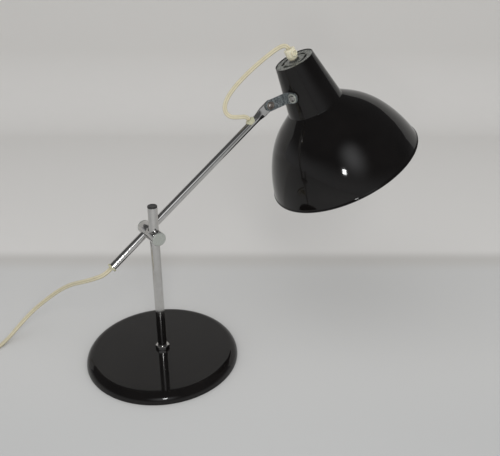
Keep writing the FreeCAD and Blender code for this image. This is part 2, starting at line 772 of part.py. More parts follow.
def build_arm():
    body = new_body("arm_tube", ARM)
    radius = S.arm_radius
    foot = -S.arm_foot
    flat_edge = FLAT_HALF
    half_width = (radius * math.pi - flat_edge * math.pi) / 2 + flat_edge
    core = half_width - flat_edge
    part_x = radius * math.cos(math.radians(SECTION_SPLIT))
    part_y = radius * math.sin(math.radians(SECTION_SPLIT))
    round_loop = [(part_x, -part_y, radius, 0), (part_x, part_y, radius, 0),
                  (-part_x, part_y, radius, 0), (-part_x, -part_y, radius, 0)]
    flat_loop = [(flat_edge, -core), (flat_edge, core, flat_edge, core),
                 (-flat_edge, core), (-flat_edge, -core, flat_edge, -core)]
    extrude(body, make_sketch(body, "XY_Plane", [round_loop], offset=lifted(foot)),
            FLAT_START + S.arm_foot)
    lower = make_sketch(body, "XY_Plane", [round_loop], offset=lifted(FLAT_START))
    upper = make_sketch(body, "XY_Plane", [flat_loop], offset=lifted(S.flat_full))
    loft = body.newObject("PartDesign::AdditiveLoft", "Flattened")
    loft.Profile = lower
    loft.Sections = [upper]
    end = ARM_PIVOT + half_width
    extrude(body, make_sketch(body, "XY_Plane", [flat_loop], offset=lifted(S.flat_full)),
            end - S.flat_full)
    wide = half_width + CUT_MARGIN
    cut_out(body, make_sketch(body, "YZ_Plane", [[
        (half_width, ARM_PIVOT, half_width, ARM_PIVOT), (-half_width, ARM_PIVOT),
        (-wide, ARM_PIVOT),
        (-wide, end + CUT_MARGIN), (wide, end + CUT_MARGIN), (wide, ARM_PIVOT)]]))
    cut_out(body, make_sketch(body, "YZ_Plane", circles=[(0, ARM_PIVOT, S.eyelet_radius + S.running_gap)]))
    bore = radius - S.arm_wall
    cut_out(body, make_sketch(body, "XY_Plane", circles=[(0, 0, bore)], offset=lifted(foot)),
            FLAT_START - S.arm_wall + S.arm_foot, reverse=True)
    cut_out(body, make_sketch(body, "XZ_Plane", circles=[(0, GROMMET_PLACE, S.grommet_hole)]),
            radius + CUT_MARGIN, reverse=True)

    bush_low = foot - S.bush_flange
    cord_bore = S.cord_radius + S.seat_gap * 4
    edge = S.seat_gap * 10
    turned("arm_bush", [
        (cord_bore, bush_low), (S.bush_flange_radius - edge, bush_low),
        (S.bush_flange_radius, bush_low + edge), (S.bush_flange_radius, foot - S.seat_gap),
        (bore - S.seat_gap, foot - S.seat_gap), (bore - S.seat_gap, foot + S.bush_spigot),
        (cord_bore, foot + S.bush_spigot)], ARM)

    outward = Placement(vector(0, 0, GROMMET_PLACE), Rotation(Vector(1, 0, 0), QUARTER_TURN))
    grommet = new_body("arm_grommet", ARM * outward)
    top = radius + S.grommet_flange_height
    extrude(grommet, make_sketch(grommet, "XY_Plane", circles=[(0, 0, S.grommet_flange_radius)],
                                 offset=lifted(S.grommet_saddle)), top - S.grommet_saddle)
    tall = S.grommet_flange_radius * 2
    groove(grommet, make_sketch(grommet, "XY_Plane", [[
        (0, -tall), (radius + S.seat_gap, -tall), (radius + S.seat_gap, tall), (0, tall)]]))
    neck = S.grommet_hole - S.seat_gap
    extrude(grommet, make_sketch(grommet, "XY_Plane", circles=[(0, 0, neck)], offset=lifted(bore)),
            top - bore - S.seat_gap)
    cut_out(grommet, make_sketch(grommet, "XY_Plane", circles=[(0, 0, cord_bore)]))


# Strap hinge

def build_strap():
    body = new_body("link_strap", HINGE)
    half = S.strap_width / 2
    bend = math.radians(STRAP_BEND)
    lean_x, lean_z = math.cos(bend), math.sin(bend)
    tab = S.tab_reach + half
    corner_x = S.strap_reach
    slip = S.strap_thickness * math.tan(bend / 2)
    end_x, end_z = corner_x + tab * lean_x, STRAP_TOP + tab * lean_z
    extrude(body, make_sketch(body, "XZ_Plane", [[
        (-half, STRAP_TOP), (-half, STRAP_LOW), (corner_x + slip, STRAP_LOW),
        (end_x + S.strap_thickness * lean_z, end_z - S.strap_thickness * lean_x),
        (end_x, end_z), (corner_x, STRAP_TOP)]]), S.strap_width, symmetric=True)
    round_end = half - S.seat_gap
    dress(body, "Fillet", round_end, lambda edge: is_strap_corner(edge, half))
    dress(body, "Fillet", S.strap_bend_radius,
          lambda edge: is_bend(edge, corner_x, STRAP_TOP))
    dress(body, "Fillet", S.strap_bend_radius + S.strap_thickness,
          lambda edge: is_bend(edge, corner_x + slip, STRAP_LOW))
    cut_out(body, make_sketch(body, "XY_Plane", circles=[(0, 0, S.eyelet_radius + S.seat_gap)]),
            STRAP_TOP + CUT_MARGIN, reverse=True)
    tab_face = HINGE.inverse() * TAB
    cut_out(body, make_sketch(body, "XY_Plane", circles=[(0, 0, S.tilt_screw_radius + S.running_gap)],
                              offset=tab_face), S.strap_thickness + CUT_MARGIN)


def is_strap_corner(edge, half):
    """True for the four short edges through the strap's thickness."""
    middle = edge.CenterOfMass
    return abs(abs(middle.y) - float(half)) < 1e-4 and abs(edge.Length - float(S.strap_thickness)) < 1e-3


def is_bend(edge, x, z):
    """True for the edge across the strap through x, z."""
    middle = edge.CenterOfMass
    return abs(middle.x - float(x)) < 1e-3 and abs(middle.z - float(z)) < 1e-3 and abs(middle.y) < 1e-3


def build_hinge():
    build_strap()
    ring("hinge_washer", S.eyelet_radius + S.seat_gap, S.hinge_washer_radius,
         FLAT_HALF + S.seat_gap, FLAT_HALF + S.seat_gap + S.hinge_washer_thickness, HINGE)
    top = STRAP_TOP + S.seat_gap
    low = -(FLAT_HALF + S.seat_gap)
    lip = S.eyelet_flange
    half_lip = lip / 2
    turned("hinge_eyelet", [
        (S.eyelet_bore, low - lip), (S.eyelet_flange_radius - half_lip, low - lip),
        (S.eyelet_flange_radius, low - half_lip), (S.eyelet_flange_radius, low),
        (S.eyelet_radius, low), (S.eyelet_radius, top), (S.eyelet_flange_radius, top),
        (S.eyelet_flange_radius, top + half_lip), (S.eyelet_flange_radius - half_lip, top + lip),
        (S.eyelet_bore, top + lip)], HINGE)


def build_tilt_screw():
    """Dome-headed screw through the strap's tab into the neck, with its washers and nut."""
    shank = S.tilt_screw_radius
    washer_low = S.seat_gap
    washer_top = washer_low + S.tilt_washer_thickness
    ring("tilt_washer", shank + S.seat_gap, S.tilt_washer_radius, washer_low, washer_top, TAB)
    under = -(S.strap_thickness + S.seat_gap)
    ring("tilt_spacer", shank + S.seat_gap, S.tilt_washer_radius,
         under - S.tilt_spacer_thickness, under, TAB)
    sag = float(S.tilt_washer_radius) ** 2 / (2 * float(S.neck_top_radius))
    inside = -(TAB_STACK + S.shade_wall + S.add("inner_washer_sag", sag) + S.seat_gap)
    inner_washer = inside - S.tilt_washer_thickness
    ring("tilt_inner_washer", shank + S.seat_gap, S.tilt_washer_radius, inner_washer, inside, TAB)
    nut_low = inner_washer - S.seat_gap - S.tilt_nut_height
    nut("tilt_nut", S.tilt_nut_flats, shank + S.seat_gap, S.tilt_nut_height,
        TAB * Placement(vector(0, 0, nut_low), Rotation()))
    head = washer_top + S.seat_gap
    rim = S.tilt_screw_head_height / 3
    high = S.tilt_screw_head_height - rim
    radius = float(S.tilt_screw_head_radius)
    dome = (radius ** 2 + float(high) ** 2) / (2 * float(high))
    turned("tilt_screw", [
        (0, nut_low - S.tilt_screw_tail), (shank, nut_low - S.tilt_screw_tail), (shank, head),
        (S.tilt_screw_head_radius, head),
        (S.tilt_screw_head_radius, head + rim, S.add("screw_dome", dome)),
        (0, head + S.tilt_screw_head_height)], TAB)


# Shade

def shade_profile():
    """Outer and inner corners of the shade's wall as (radius, depth, arc radius)."""
    wall = float(S.shade_wall)
    steps = (float(S.dome_flank_angle), float(S.dome_arc_end), float(S.rim_angle))

    def along(angle):
        return Vector(math.sin(math.radians(angle)), math.cos(math.radians(angle)), 0)

    def inward(angle):
        return Vector(-math.cos(math.radians(angle)), math.sin(math.radians(angle)), 0)

    taper = math.degrees(NECK_TAPER)
    top = vector(S.neck_top_radius, 0)
    foot = vector(S.neck_foot_radius, S.neck_length)
    flank = foot + along(steps[0]) * float(S.dome_flank)
    first_centre = flank + inward(steps[0]) * float(S.dome_arc_radius)
    knee = first_centre - inward(steps[1]) * float(S.dome_arc_radius)
    second_centre = knee + inward(steps[1]) * float(S.rim_arc_radius)
    rim = second_centre - inward(steps[2]) * float(S.rim_arc_radius)
    turn = math.radians(steps[0] - taper)
    half_turn = inward((steps[0] + taper) / 2) * (wall / math.cos(turn / 2))
    inner = [top - vector(wall / math.cos(math.radians(taper)), 0), foot + half_turn,
             flank + inward(steps[0]) * wall, knee + inward(steps[1]) * wall,
             rim + inward(steps[2]) * wall]
    return [top, foot, flank, knee, rim], inner


def build_shade_shell():
    outer, inner = shade_profile()
    names = ("top", "foot", "flank", "knee", "rim")
    cells = {}
    for side, points in (("outer", outer), ("inner", inner)):
        for name, point in zip(names, points):
            cells[side, name] = (S.add(f"{side}_{name}_radius", point.x),
                                 S.add(f"{side}_{name}_depth", point.y))
    first = S.dome_arc_radius
    second = S.rim_arc_radius
    body = new_body("shade_shell", SHADE)
    spin(body, make_sketch(body, "XZ_Plane", [[
        cells["outer", "top"], cells["outer", "foot"],
        (*cells["outer", "flank"], first), (*cells["outer", "knee"], second),
        cells["outer", "rim"],
        (*cells["inner", "rim"], -(second - S.shade_wall)),
        (*cells["inner", "knee"], -(first - S.shade_wall)),
        cells["inner", "flank"], cells["inner", "foot"], cells["inner", "top"]]]))
    bead_radius = cells["outer", "rim"][0] - S.shade_wall / 2
    bead_depth = cells["outer", "rim"][1]
    spin(body, make_sketch(body, "XZ_Plane", circles=[(bead_radius, bead_depth, S.rim_bead)]))
    dress(body, "Fillet", S.junction_fillet,
          lambda edge: is_rim(edge, S.neck_foot_radius, S.neck_length))
    face = Placement(vector(TILT_RADIUS, 0, S.tilt_place),
                     Rotation(Vector(0, 1, 0), QUARTER_TURN + math.degrees(NECK_TAPER)))
    cut_out(body, make_sketch(body, "XY_Plane", circles=[(0, 0, S.tilt_screw_radius + S.seat_gap)],
                              offset=face * lifted(CUT_MARGIN)),
            S.shade_wall + CUT_MARGIN * 3)


def neck_inner(depth):
    """Radius of the neck's inner wall at a depth below the cap's edge."""
    return S.inner_top_radius + NECK_SLOPE * depth


def sector(inner, outer, half_angle):
    """A curved slot about the X axis, from inner to outer radius."""
    cosine = math.cos(math.radians(half_angle))
    sine = math.sin(math.radians(half_angle))
    return [(inner * cosine, inner * sine, -inner), (inner * cosine, -(inner * sine)),
            (outer * cosine, -(outer * sine), outer), (outer * cosine, outer * sine)]


def build_neck_cap():
    body = new_body("neck_cap", SHADE)
    high = S.cap_recess
    low = high + S.cap_thickness
    foot = high + S.cap_skirt
    hole = S.nipple_radius + S.seat_gap
    spin(body, make_sketch(body, "XZ_Plane", [[
        (hole, high), (neck_inner(high) - S.seat_gap, high), (neck_inner(foot) - S.seat_gap, foot),
        (neck_inner(foot) - S.cap_thickness, foot), (neck_inner(low) - S.cap_thickness, low),
        (hole, low)]]))
    doc.recompute()
    slot = cut_out(body, make_sketch(body, "XY_Plane", [
        sector(S.cap_slot_inner, S.cap_slot_outer, float(S.cap_slot_angle) / 2)], offset=lifted(low + CUT_MARGIN)),
        S.cap_thickness + CUT_MARGIN * 2)
    doc.recompute()
    pattern = body.newObject("PartDesign::PolarPattern", "Slots")
    pattern.Originals = [slot]
    axis = [item for item in body.Origin.OriginFeatures if item.Role == "Z_Axis"][0]
    pattern.Axis = (axis, [""])
    pattern.Angle = 360
    pattern.Occurrences = int(float(S.cap_slots))
    body.Tip = pattern


def build_cord_grip():
    """Nipple, nut and moulded cord grip with its clamping screw on the neck's cap."""
    ring("holder_nipple", S.nipple_bore, S.nipple_radius, -S.nipple_top, S.nipple_foot, SHADE)
    nut("cap_nut", S.cap_nut_flats, S.nipple_radius + S.seat_gap, S.cap_nut_height,
        SHADE * lifted(S.cap_recess - S.seat_gap - S.cap_nut_height))
    flipped = Placement(Vector(), Rotation(Vector(1, 0, 0), HALF_TURN))
    upward = SHADE * flipped * Placement(Vector(), Rotation(UP, GRIP_TURN))
    body = new_body("cord_grip", upward)
    low = S.cap_nut_height - S.cap_recess + S.seat_gap * 2
    edge = S.grip_top_radius / 6
    cord = S.cord_radius + S.seat_gap * 4
    thread = S.nipple_radius + S.seat_gap
    seat = S.nipple_top + S.seat_gap
    spin(body, make_sketch(body, "XZ_Plane", [[
        (thread, low), (S.grip_foot_radius, low), (S.grip_top_radius, S.grip_waist),
        (S.grip_top_radius, S.grip_top - edge), (S.grip_top_radius - edge, S.grip_top),
        (cord, S.grip_top), (cord, seat), (thread, seat)]]))
    boss = Placement(vector(0, 0, S.grip_boss_height), Rotation(Vector(0, 1, 0), QUARTER_TURN))
    extrude(body, make_sketch(body, "XY_Plane", circles=[(0, 0, S.grip_boss_radius)],
                              offset=boss * lifted(cord)), S.grip_boss_reach - cord)
    screw_hole = S.grip_screw_radius + S.seat_gap
    cut_out(body, make_sketch(body, "XY_Plane", circles=[(0, 0, screw_hole)],
                              offset=boss * lifted(S.grip_boss_reach)), S.grip_boss_reach)
    tip = S.cord_radius + S.seat_gap
    slot = S.grip_screw_radius / 3
    screw = new_body("grip_screw", upward * boss)
    extrude(screw, make_sketch(screw, "XY_Plane", circles=[(0, 0, S.grip_screw_radius)],
                               offset=lifted(tip)), S.grip_boss_reach - S.grip_screw_head - tip)
    wide = S.grip_screw_radius + CUT_MARGIN
    cut_out(screw, make_sketch(screw, "XY_Plane", [[
        (-wide, -slot), (wide, -slot), (wide, slot), (-wide, slot)]],
        offset=lifted(S.grip_boss_reach - S.grip_screw_head)), S.grip_screw_head)


def build_lampholder():
    top = S.cap_recess + S.cap_thickness + S.seat_gap
    hole = S.nipple_radius + S.seat_gap
    wall = S.holder_wall
    joint = S.holder_joint
    shoulder = top + wall * 2
    turned("holder_cap", [
        (hole, top), (S.holder_neck_radius - wall * 2, top), (S.holder_neck_radius, shoulder),
        (S.holder_radius, shoulder + wall * 2), (S.holder_radius, joint),
        (S.holder_radius - wall, joint), (S.holder_radius - wall, shoulder + wall * 2 + wall / 2),
        (S.holder_neck_radius - wall, shoulder + wall), (hole, shoulder + wall)], SHADE)
    turned("holder_insert", [
        (0, S.insert_top), (S.insert_radius - wall, S.insert_top),
        (S.insert_radius, S.insert_top + wall), (S.insert_radius, S.insert_foot),
        (0, S.insert_foot)], SHADE)
    face = joint + S.seat_gap
    mouth = S.bulb_cap_radius + S.body_gap
    lip = S.holder_radius - wall / 2
    seat = S.insert_radius + S.seat_gap
    turned("holder_shell", [
        (seat, face), (S.holder_radius, face), (S.holder_radius, face + wall * 2),
        (lip, face + wall * 3), (lip, S.holder_foot - wall), (lip - wall / 2, S.holder_foot),
        (mouth, S.holder_foot), (mouth, S.insert_foot + S.seat_gap),
        (seat, S.insert_foot + S.seat_gap)], SHADE)
    contact = new_body("centre_contact", SHADE)
    half = S.contact_width
    low = S.insert_foot + S.seat_gap
    thick = S.contact_thickness
    drop = low + S.contact_drop
    extrude(contact, make_sketch(contact, "XZ_Plane", [[
        (-half, low), (-half + thick * 4, low), (half - thick, drop - thick), (half, drop - thick),
        (half, drop), (half - thick * 2, drop), (-half + thick * 3, low + thick),
        (-half, low + thick)]]), S.contact_width, symmetric=True)


def build_bulb():
    """Screw cap, open below, and a glass envelope that is open at its neck."""
    tip = S.insert_foot + S.seat_gap + S.contact_drop + S.seat_gap
    edge = S.bulb_cap_edge
    cap_side = tip + S.bulb_cap_taper + edge
    cap_foot = tip + S.bulb_cap_length
    radius = S.bulb_cap_radius
    wall = S.bulb_wall
    turned("bulb_cap", [
        (0, tip), (radius / 3, tip), (radius - edge, cap_side - edge), (radius, cap_side),
        (radius, cap_foot), (radius - wall, cap_foot), (radius - wall, cap_side + wall),
        (0, cap_side + wall)], SHADE)
    glass_top = cap_foot + S.seat_gap
    outer = S.bulb_radius
    inner = outer - wall
    centre = tip + S.bulb_length - outer
    cosine, sine = math.cos(math.radians(BULB_LEAN)), math.sin(math.radians(BULB_LEAN))
    turned("bulb_glass", [
        (S.bulb_stem_radius, glass_top), (outer * sine, centre - outer * cosine, outer),
        (0, centre + outer), (0, centre + inner, -inner),
        (inner * sine, centre - inner * cosine), (S.bulb_stem_radius - wall, glass_top)], SHADE)


# Flex

def smooth_path(points, name):
    """Straight runs joined by tangent arcs, each as large as its two runs allow."""
    edges = []
    start = points[0]
    radii = []
    for index in range(1, len(points) - 1):
        corner = points[index]
        back = points[index - 1] - corner
        ahead = points[index + 1] - corner
        turn = math.pi - back.getAngle(ahead)
        radius = 0.45 * min(back.Length, ahead.Length) / math.tan(turn / 2)
        trim = radius * math.tan(turn / 2)
        back.normalize()
        ahead.normalize()
        enter = corner + back * trim
        leave = corner + ahead * trim
        bisector = (back + ahead).normalize()
        middle = corner + bisector * (radius / math.cos(turn / 2) - radius)
        edges.append(Part.LineSegment(start, enter).toShape())
        edges.append(Part.Arc(enter, middle, leave).toShape())
        start = leave
        radii.append(radius)
    edges.append(Part.LineSegment(start, points[-1]).toShape())
    print(name, "radii", " ".join(f"{radius:.1f}" for radius in radii))
    return Part.Wire(edges)


def tube(label, wire, radius):
    """A round cord along a wire, with its volume compared with section times length."""
    first = wire.Edges[0]
    start = first.valueAt(first.FirstParameter)
    heading = first.tangentAt(first.FirstParameter)
    circle = Part.Wire([Part.Circle(start, heading, radius).toShape()])
    solid = wire.makePipeShell([circle], True, False)
    if solid.Volume < 0:
        solid.reverse()
    expected = math.pi * radius ** 2 * wire.Length
    print(label, f"length {wire.Length:.1f} volume ratio {solid.Volume / expected:.4f}")
    feature = doc.addObject("Part::Feature", label)
    feature.Label = label
    feature.Shape = solid
    feature.Placement = Placement()
    NODES.append(feature)
    return feature


def points_of(route):
    return [vector(*point) for point in route]


def build_leads():
    radius = float(S.cord_radius)
    gap = float(S.seat_gap)
    bush_face = -float(S.arm_foot + S.bush_flange)
    inside = [ARM.multVec(Vector(0, 0, bush_face + gap))]
    bend = float(S.arm_radius - S.arm_wall)
    place = float(GROMMET_PLACE)
    top = float(S.arm_radius + S.grommet_flange_height)
    arc_start = Vector(0, 0, place - bend)
    arc_middle = Vector(0, -bend * (1 - math.sqrt(0.5)), place - bend * (1 - math.sqrt(0.5)))
    arc_end = Vector(0, -bend, place)
    to_world = ARM.multVec
    run = Part.LineSegment(inside[0], to_world(arc_start)).toShape()
    turn = Part.Arc(to_world(arc_start), to_world(arc_middle), to_world(arc_end)).toShape()
    outlet = to_world(Vector(0, -top, place))
    rise = Part.LineSegment(to_world(arc_end), outlet).toShape()
    tube("arm_lead", Part.Wire([run, turn, rise]), radius)

    outward = ARM.Rotation.multVec(Vector(0, -1, 0))
    end = outlet + outward * gap
    grip_outlet = SHADE.multVec(vector(0, 0, -S.grip_top)) - SHADE_AXIS * gap
    lead = [grip_outlet] + points_of(LEAD_ROUTE) + [end]
    tube("loop_lead", smooth_path(lead, "loop_lead"), radius)
    holder_side = SHADE.multVec(vector(0, 0, -S.grip_top))
    holder_end = SHADE.multVec(vector(0, 0, S.nipple_foot))
    tube("holder_lead", Part.Wire([Part.LineSegment(holder_side, holder_end).toShape()]), radius)

    cord_height = float(S.switch_cord_height)
    half = float(S.switch_length) / 2
    arm_end = ARM.multVec(Vector(0, 0, bush_face - gap))
    switch_in = SWITCH.multVec(Vector(half + gap, 0, cord_height))
    switch_out = SWITCH.multVec(Vector(-half - gap, 0, cord_height))
    mains = [arm_end] + points_of(MAINS_ROUTE) + [switch_in]
    tube("mains_cord", smooth_path(mains, "mains_cord"), radius)

    coil_start, coil_end = build_coil(radius, gap)
    lead = [switch_out] + points_of(SWITCH_LEAD_ROUTE) + [coil_start]
    tube("switch_lead", smooth_path(lead, "switch_lead"), radius)
    plug_in = PLUG.multVec(vector(-S.plug_length / 2 - S.seat_gap, 0, S.plug_height / 2 + S.body_gap))
    lead = [coil_end] + points_of(PLUG_LEAD_ROUTE) + [plug_in]
    tube("plug_lead", smooth_path(lead, "plug_lead"), radius)


def coil_points():
    """Quarter-turn points of a flat coil that winds in, climbs and winds out again."""
    inner = float(S.coil_inner)
    step = float(S.coil_step)
    loops = int(float(S.coil_loops))
    low = float(S.cord_radius) + float(S.seat_gap)
    high = low + float(S.coil_layer_step)
    outer = inner + step * (loops - 0.5)
    quarters = 4 * loops
    points = []
    for count in range(quarters - 1):
        radius = outer - step * count / 4
        points.append((radius, HALF_TURN + QUARTER_TURN * count, low))
    climb_start = points[-1]
    for part in (1, 2):
        height = low + (high - low) * part / 2
        points.append((climb_start[0], climb_start[1] + QUARTER_TURN * part, height))
    last = points[-1]
    for count in range(1, quarters - 1):
        points.append((last[0] + step * count / 4, last[1] + QUARTER_TURN * count, high))
    return [Vector(radius * math.cos(math.radians(angle)), radius * math.sin(math.radians(angle)), z)
            for radius, angle, z in points]


def tangent_chain(points, heading):
    """Arcs through the points in turn, each leaving as the one before it arrived."""
    edges = []
    for start, end in zip(points, points[1:]):
        chord = end - start
        across = heading.cross(chord).cross(heading)
        across.normalize()
        radius = chord.Length ** 2 / (2 * chord.dot(across))
        centre = start + across * radius
        middle = centre + ((start - centre) + (end - centre)).normalize() * radius
        edges.append(Part.Arc(start, middle, end).toShape())
        heading = edges[-1].tangentAt(edges[-1].LastParameter)
    return edges, heading


def build_coil(radius, gap):
    """The put-away length: one unbroken tube in two layers, with straight ends."""
    points = coil_points()
    heading = Vector(0, -1, 0)
    edges, last = tangent_chain(points, heading)
    diameter = 2 * radius
    entry = points[0] - heading * diameter
    leave = points[-1] + last * diameter
    edges.insert(0, Part.LineSegment(entry, points[0]).toShape())
    edges.append(Part.LineSegment(points[-1], leave).toShape())
    wire = Part.Wire(edges)
    wire.Placement = COIL
    tube("cord_coil", wire, radius)
    samples = wire.discretize(Distance=3.0)
    least = 1e9
    for index, point in enumerate(samples):
        for other in samples[index + 12:]:
            least = min(least, point.distanceToPoint(other))
    print(f"coil least gap to itself {least - diameter:.2f}")
    outward = COIL.Rotation.multVec(last)
    start = COIL.multVec(entry) + COIL.Rotation.multVec(-heading) * gap
    return start, COIL.multVec(leave) + outward * gap


# In-line switch and plug

def rounded_box(length, width, corner):
    """A rectangle about the origin with rounded corners."""
    x, y = length / 2, width / 2
    return [(x - corner, -y, corner), (x, -y + corner), (x, y - corner, corner), (x - corner, y),
            (-x + corner, y, corner), (-x, y - corner), (-x, -y + corner, corner), (-x + corner, -y)]


def is_level(edge, height):
    """True for an edge that lies flat at that height."""
    box = edge.BoundBox
    return abs(box.ZMin - float(height)) < 1e-4 and abs(box.ZMax - float(height)) < 1e-4


def build_switch():
    corner = S.switch_width / 4
    outline = rounded_box(S.switch_length, S.switch_width, corner)
    low = S.body_gap
    base = new_body("switch_base", SWITCH)
    extrude(base, make_sketch(base, "XY_Plane", [outline], offset=lifted(low)), S.switch_split - low)
    dress(base, "Fillet", S.switch_edge, lambda edge: is_level(edge, low))
    cover = new_body("switch_cover", SWITCH)
    cover_low = S.switch_split + S.seat_gap
    top = S.switch_height
    extrude(cover, make_sketch(cover, "XY_Plane", [outline], offset=lifted(cover_low)), top - cover_low)
    dress(cover, "Fillet", S.switch_edge, lambda edge: is_level(edge, top))
    half_hole = (S.rocker_length + S.body_gap * 4) / 2
    wide = (S.rocker_width + S.body_gap * 2) / 2
    depth = top - S.rocker_pivot + S.rocker_room
    cut_out(cover, make_sketch(cover, "XY_Plane", [[
        (half_hole, -wide), (half_hole, wide), (-half_hole, wide), (-half_hole, -wide)]],
        offset=lifted(top)), depth)
    pin_hole = S.rocker_pin_radius + S.running_gap
    reach = S.rocker_width + (S.rocker_pin_reach + S.body_gap) * 2
    hole = cut_out(cover, make_sketch(cover, "XZ_Plane", circles=[(0, S.rocker_pivot, pin_hole)]),
                   reach)
    hole.SideType = "Symmetric"
    for side in (-1, 1):
        x = S.switch_screw_spacing * (side / 2)
        cut_out(cover, make_sketch(cover, "XY_Plane", circles=[(x, 0, S.switch_screw_head + S.seat_gap)],
                                   offset=lifted(top)), S.switch_edge)
        cut_out(cover, make_sketch(cover, "XY_Plane", circles=[(x, 0, S.switch_screw_radius + S.seat_gap)]),
                top, reverse=True)
        cut_out(base, make_sketch(base, "XY_Plane", circles=[(x, 0, S.switch_screw_radius + S.seat_gap)],
                                  offset=lifted(S.switch_split)), S.switch_split - S.switch_edge)
    build_switch_screws(top)
    rocker_place = SWITCH * Placement(vector(0, 0, S.rocker_pivot),
                                      Rotation(Vector(0, 1, 0), -float(S.rocker_throw)))
    rocker = new_body("switch_rocker", rocker_place)
    end = S.rocker_length / 2
    extrude(rocker, make_sketch(rocker, "XZ_Plane", [[
        (-end, -S.rocker_skirt), (0, -S.rocker_keel), (end, -S.rocker_skirt),
        (end, S.rocker_horn), (0, S.rocker_dip), (-end, S.rocker_horn)]]),
        S.rocker_width, symmetric=True)
    extrude(rocker, make_sketch(rocker, "XZ_Plane", circles=[(0, 0, S.rocker_pin_radius)]),
            S.rocker_width + S.rocker_pin_reach * 2, symmetric=True)


def build_switch_screws(top):
    """Two screws from above, as one group."""
    screws = []
    for side in (-1, 1):
        x = float(S.switch_screw_spacing) * side / 2
        head_low = top - S.switch_edge + S.seat_gap
        foot = S.switch_edge + S.seat_gap
        shank = doc.addObject("Part::Cylinder", "ScrewShank")
        shank.setExpression("Radius", S.switch_screw_radius.text)
        shank.setExpression("Height", (head_low - foot).text)
        shank.Placement = Placement(vector(x, 0, foot), Rotation())
        head = doc.addObject("Part::Cylinder", "ScrewHead")
        head.setExpression("Radius", S.switch_screw_head.text)
        head.setExpression("Height", (S.switch_edge - S.seat_gap * 4).text)
        head.Placement = Placement(vector(x, 0, head_low), Rotation())
        screw = doc.addObject("Part::Fuse", "Screw")
        screw.Base = shank
        screw.Tool = head
        screws.append(screw)
    group = doc.addObject("Part::Compound", "switch_screws")
    group.Label = "switch_screws"
    group.Links = screws
    group.Placement = SWITCH
    NODES.append(group)


def build_plug():
    body = new_body("plug_body", PLUG)
    low = S.body_gap
    half = S.plug_length / 2
    wide = S.plug_width / 2
    tail = S.plug_tail_width / 2
    shoulder = S.plug_length / 6
    extrude(body, make_sketch(body, "XY_Plane", [[
        (-half, -tail), (-half + shoulder, -tail), (0, -wide), (half, -wide), (half, wide),
        (0, wide), (-half + shoulder, tail), (-half, tail)]], offset=lifted(low)), S.plug_height)
    top = low + S.plug_height
    dress(body, "Fillet", S.plug_edge, lambda edge: is_level(edge, low) or is_level(edge, top))
    for side in (-1, 1):
        y = S.pin_spacing * (side / 2)
        hole = make_sketch(body, "YZ_Plane", circles=[(y, low + S.plug_height / 2, S.pin_radius + S.seat_gap)],
                           offset=lifted(half))
        cut_out(body, hole, S.plug_length / 3)
    pins = []
    for side in (-1, 1):
        pin = doc.addObject("Part::Cylinder", "Pin")
        pin.setExpression("Radius", S.pin_radius.text)
        pin.setExpression("Height", (S.pin_length + S.plug_length / 3 - S.seat_gap).text)
        start = vector(half - S.plug_length / 3 + S.seat_gap, S.pin_spacing * (side / 2),
                       low + S.plug_height / 2)
        pin.Placement = Placement(start, Rotation(Vector(0, 1, 0), QUARTER_TURN))
        rounded = doc.addObject("Part::Fillet", "PinRounded")
        rounded.Base = pin
        doc.recompute()
        tip = [index + 1 for index, edge in enumerate(pin.Shape.Edges)
               if edge.CenterOfMass.x > float(half) + 1 and isinstance(edge.Curve, Part.Circle)]
        edge_radius = float(S.pin_radius * PIN_ROUNDING)
        rounded.Edges = [(index, edge_radius, edge_radius) for index in tip]
        pins.append(rounded)
    group = doc.addObject("Part::Compound", "plug_pins")
    group.Label = "plug_pins"
    group.Links = pins
    group.Placement = PLUG
    NODES.append(group)


def check_document():
    """Stops when an object failed or a sub-part's shape is missing or wrong."""
    doc.recompute()
    failed = [item.Name for item in doc.Objects
              if "Invalid" in item.State or "Error" in item.State]
    if failed:
        raise RuntimeError("failed objects: " + ", ".join(failed))
    for node in NODES:
        shape = node.Shape
        if shape.isNull() or not shape.isValid() or not shape.Solids:
            raise RuntimeError("bad shape: " + node.Label)


def write_parts():
    os.makedirs("parts", exist_ok=True)
    for node in NODES:
        node.Shape.exportStep(f"parts/{node.Label}.step")
        print(f"{node.Label} solids {len(node.Shape.Solids)} volume {node.Shape.Volume:.0f}")


build_base()
build_post()
build_clamp()
build_arm()
build_hinge()
build_shade_shell()
build_tilt_screw()
build_neck_cap()
build_cord_grip()
build_lampholder()
build_bulb()
build_leads()
build_switch()
build_plug()
check_document()
write_parts()
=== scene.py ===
"""Looks of a desk lamp: weighted base, chromed post and arm, friction clamp,
strap hinge and a spun metal shade, with its flex, in-line switch and plug.

Sizes are millimetres in the frame of each sub-assembly; meshes are in metres.
"""
import logging
import math
from dataclasses import dataclass
from enum import Enum
from typing import Any

import bmesh
import bpy
import numpy as np
from mathutils import Matrix, Vector
from numpy.typing import NDArray


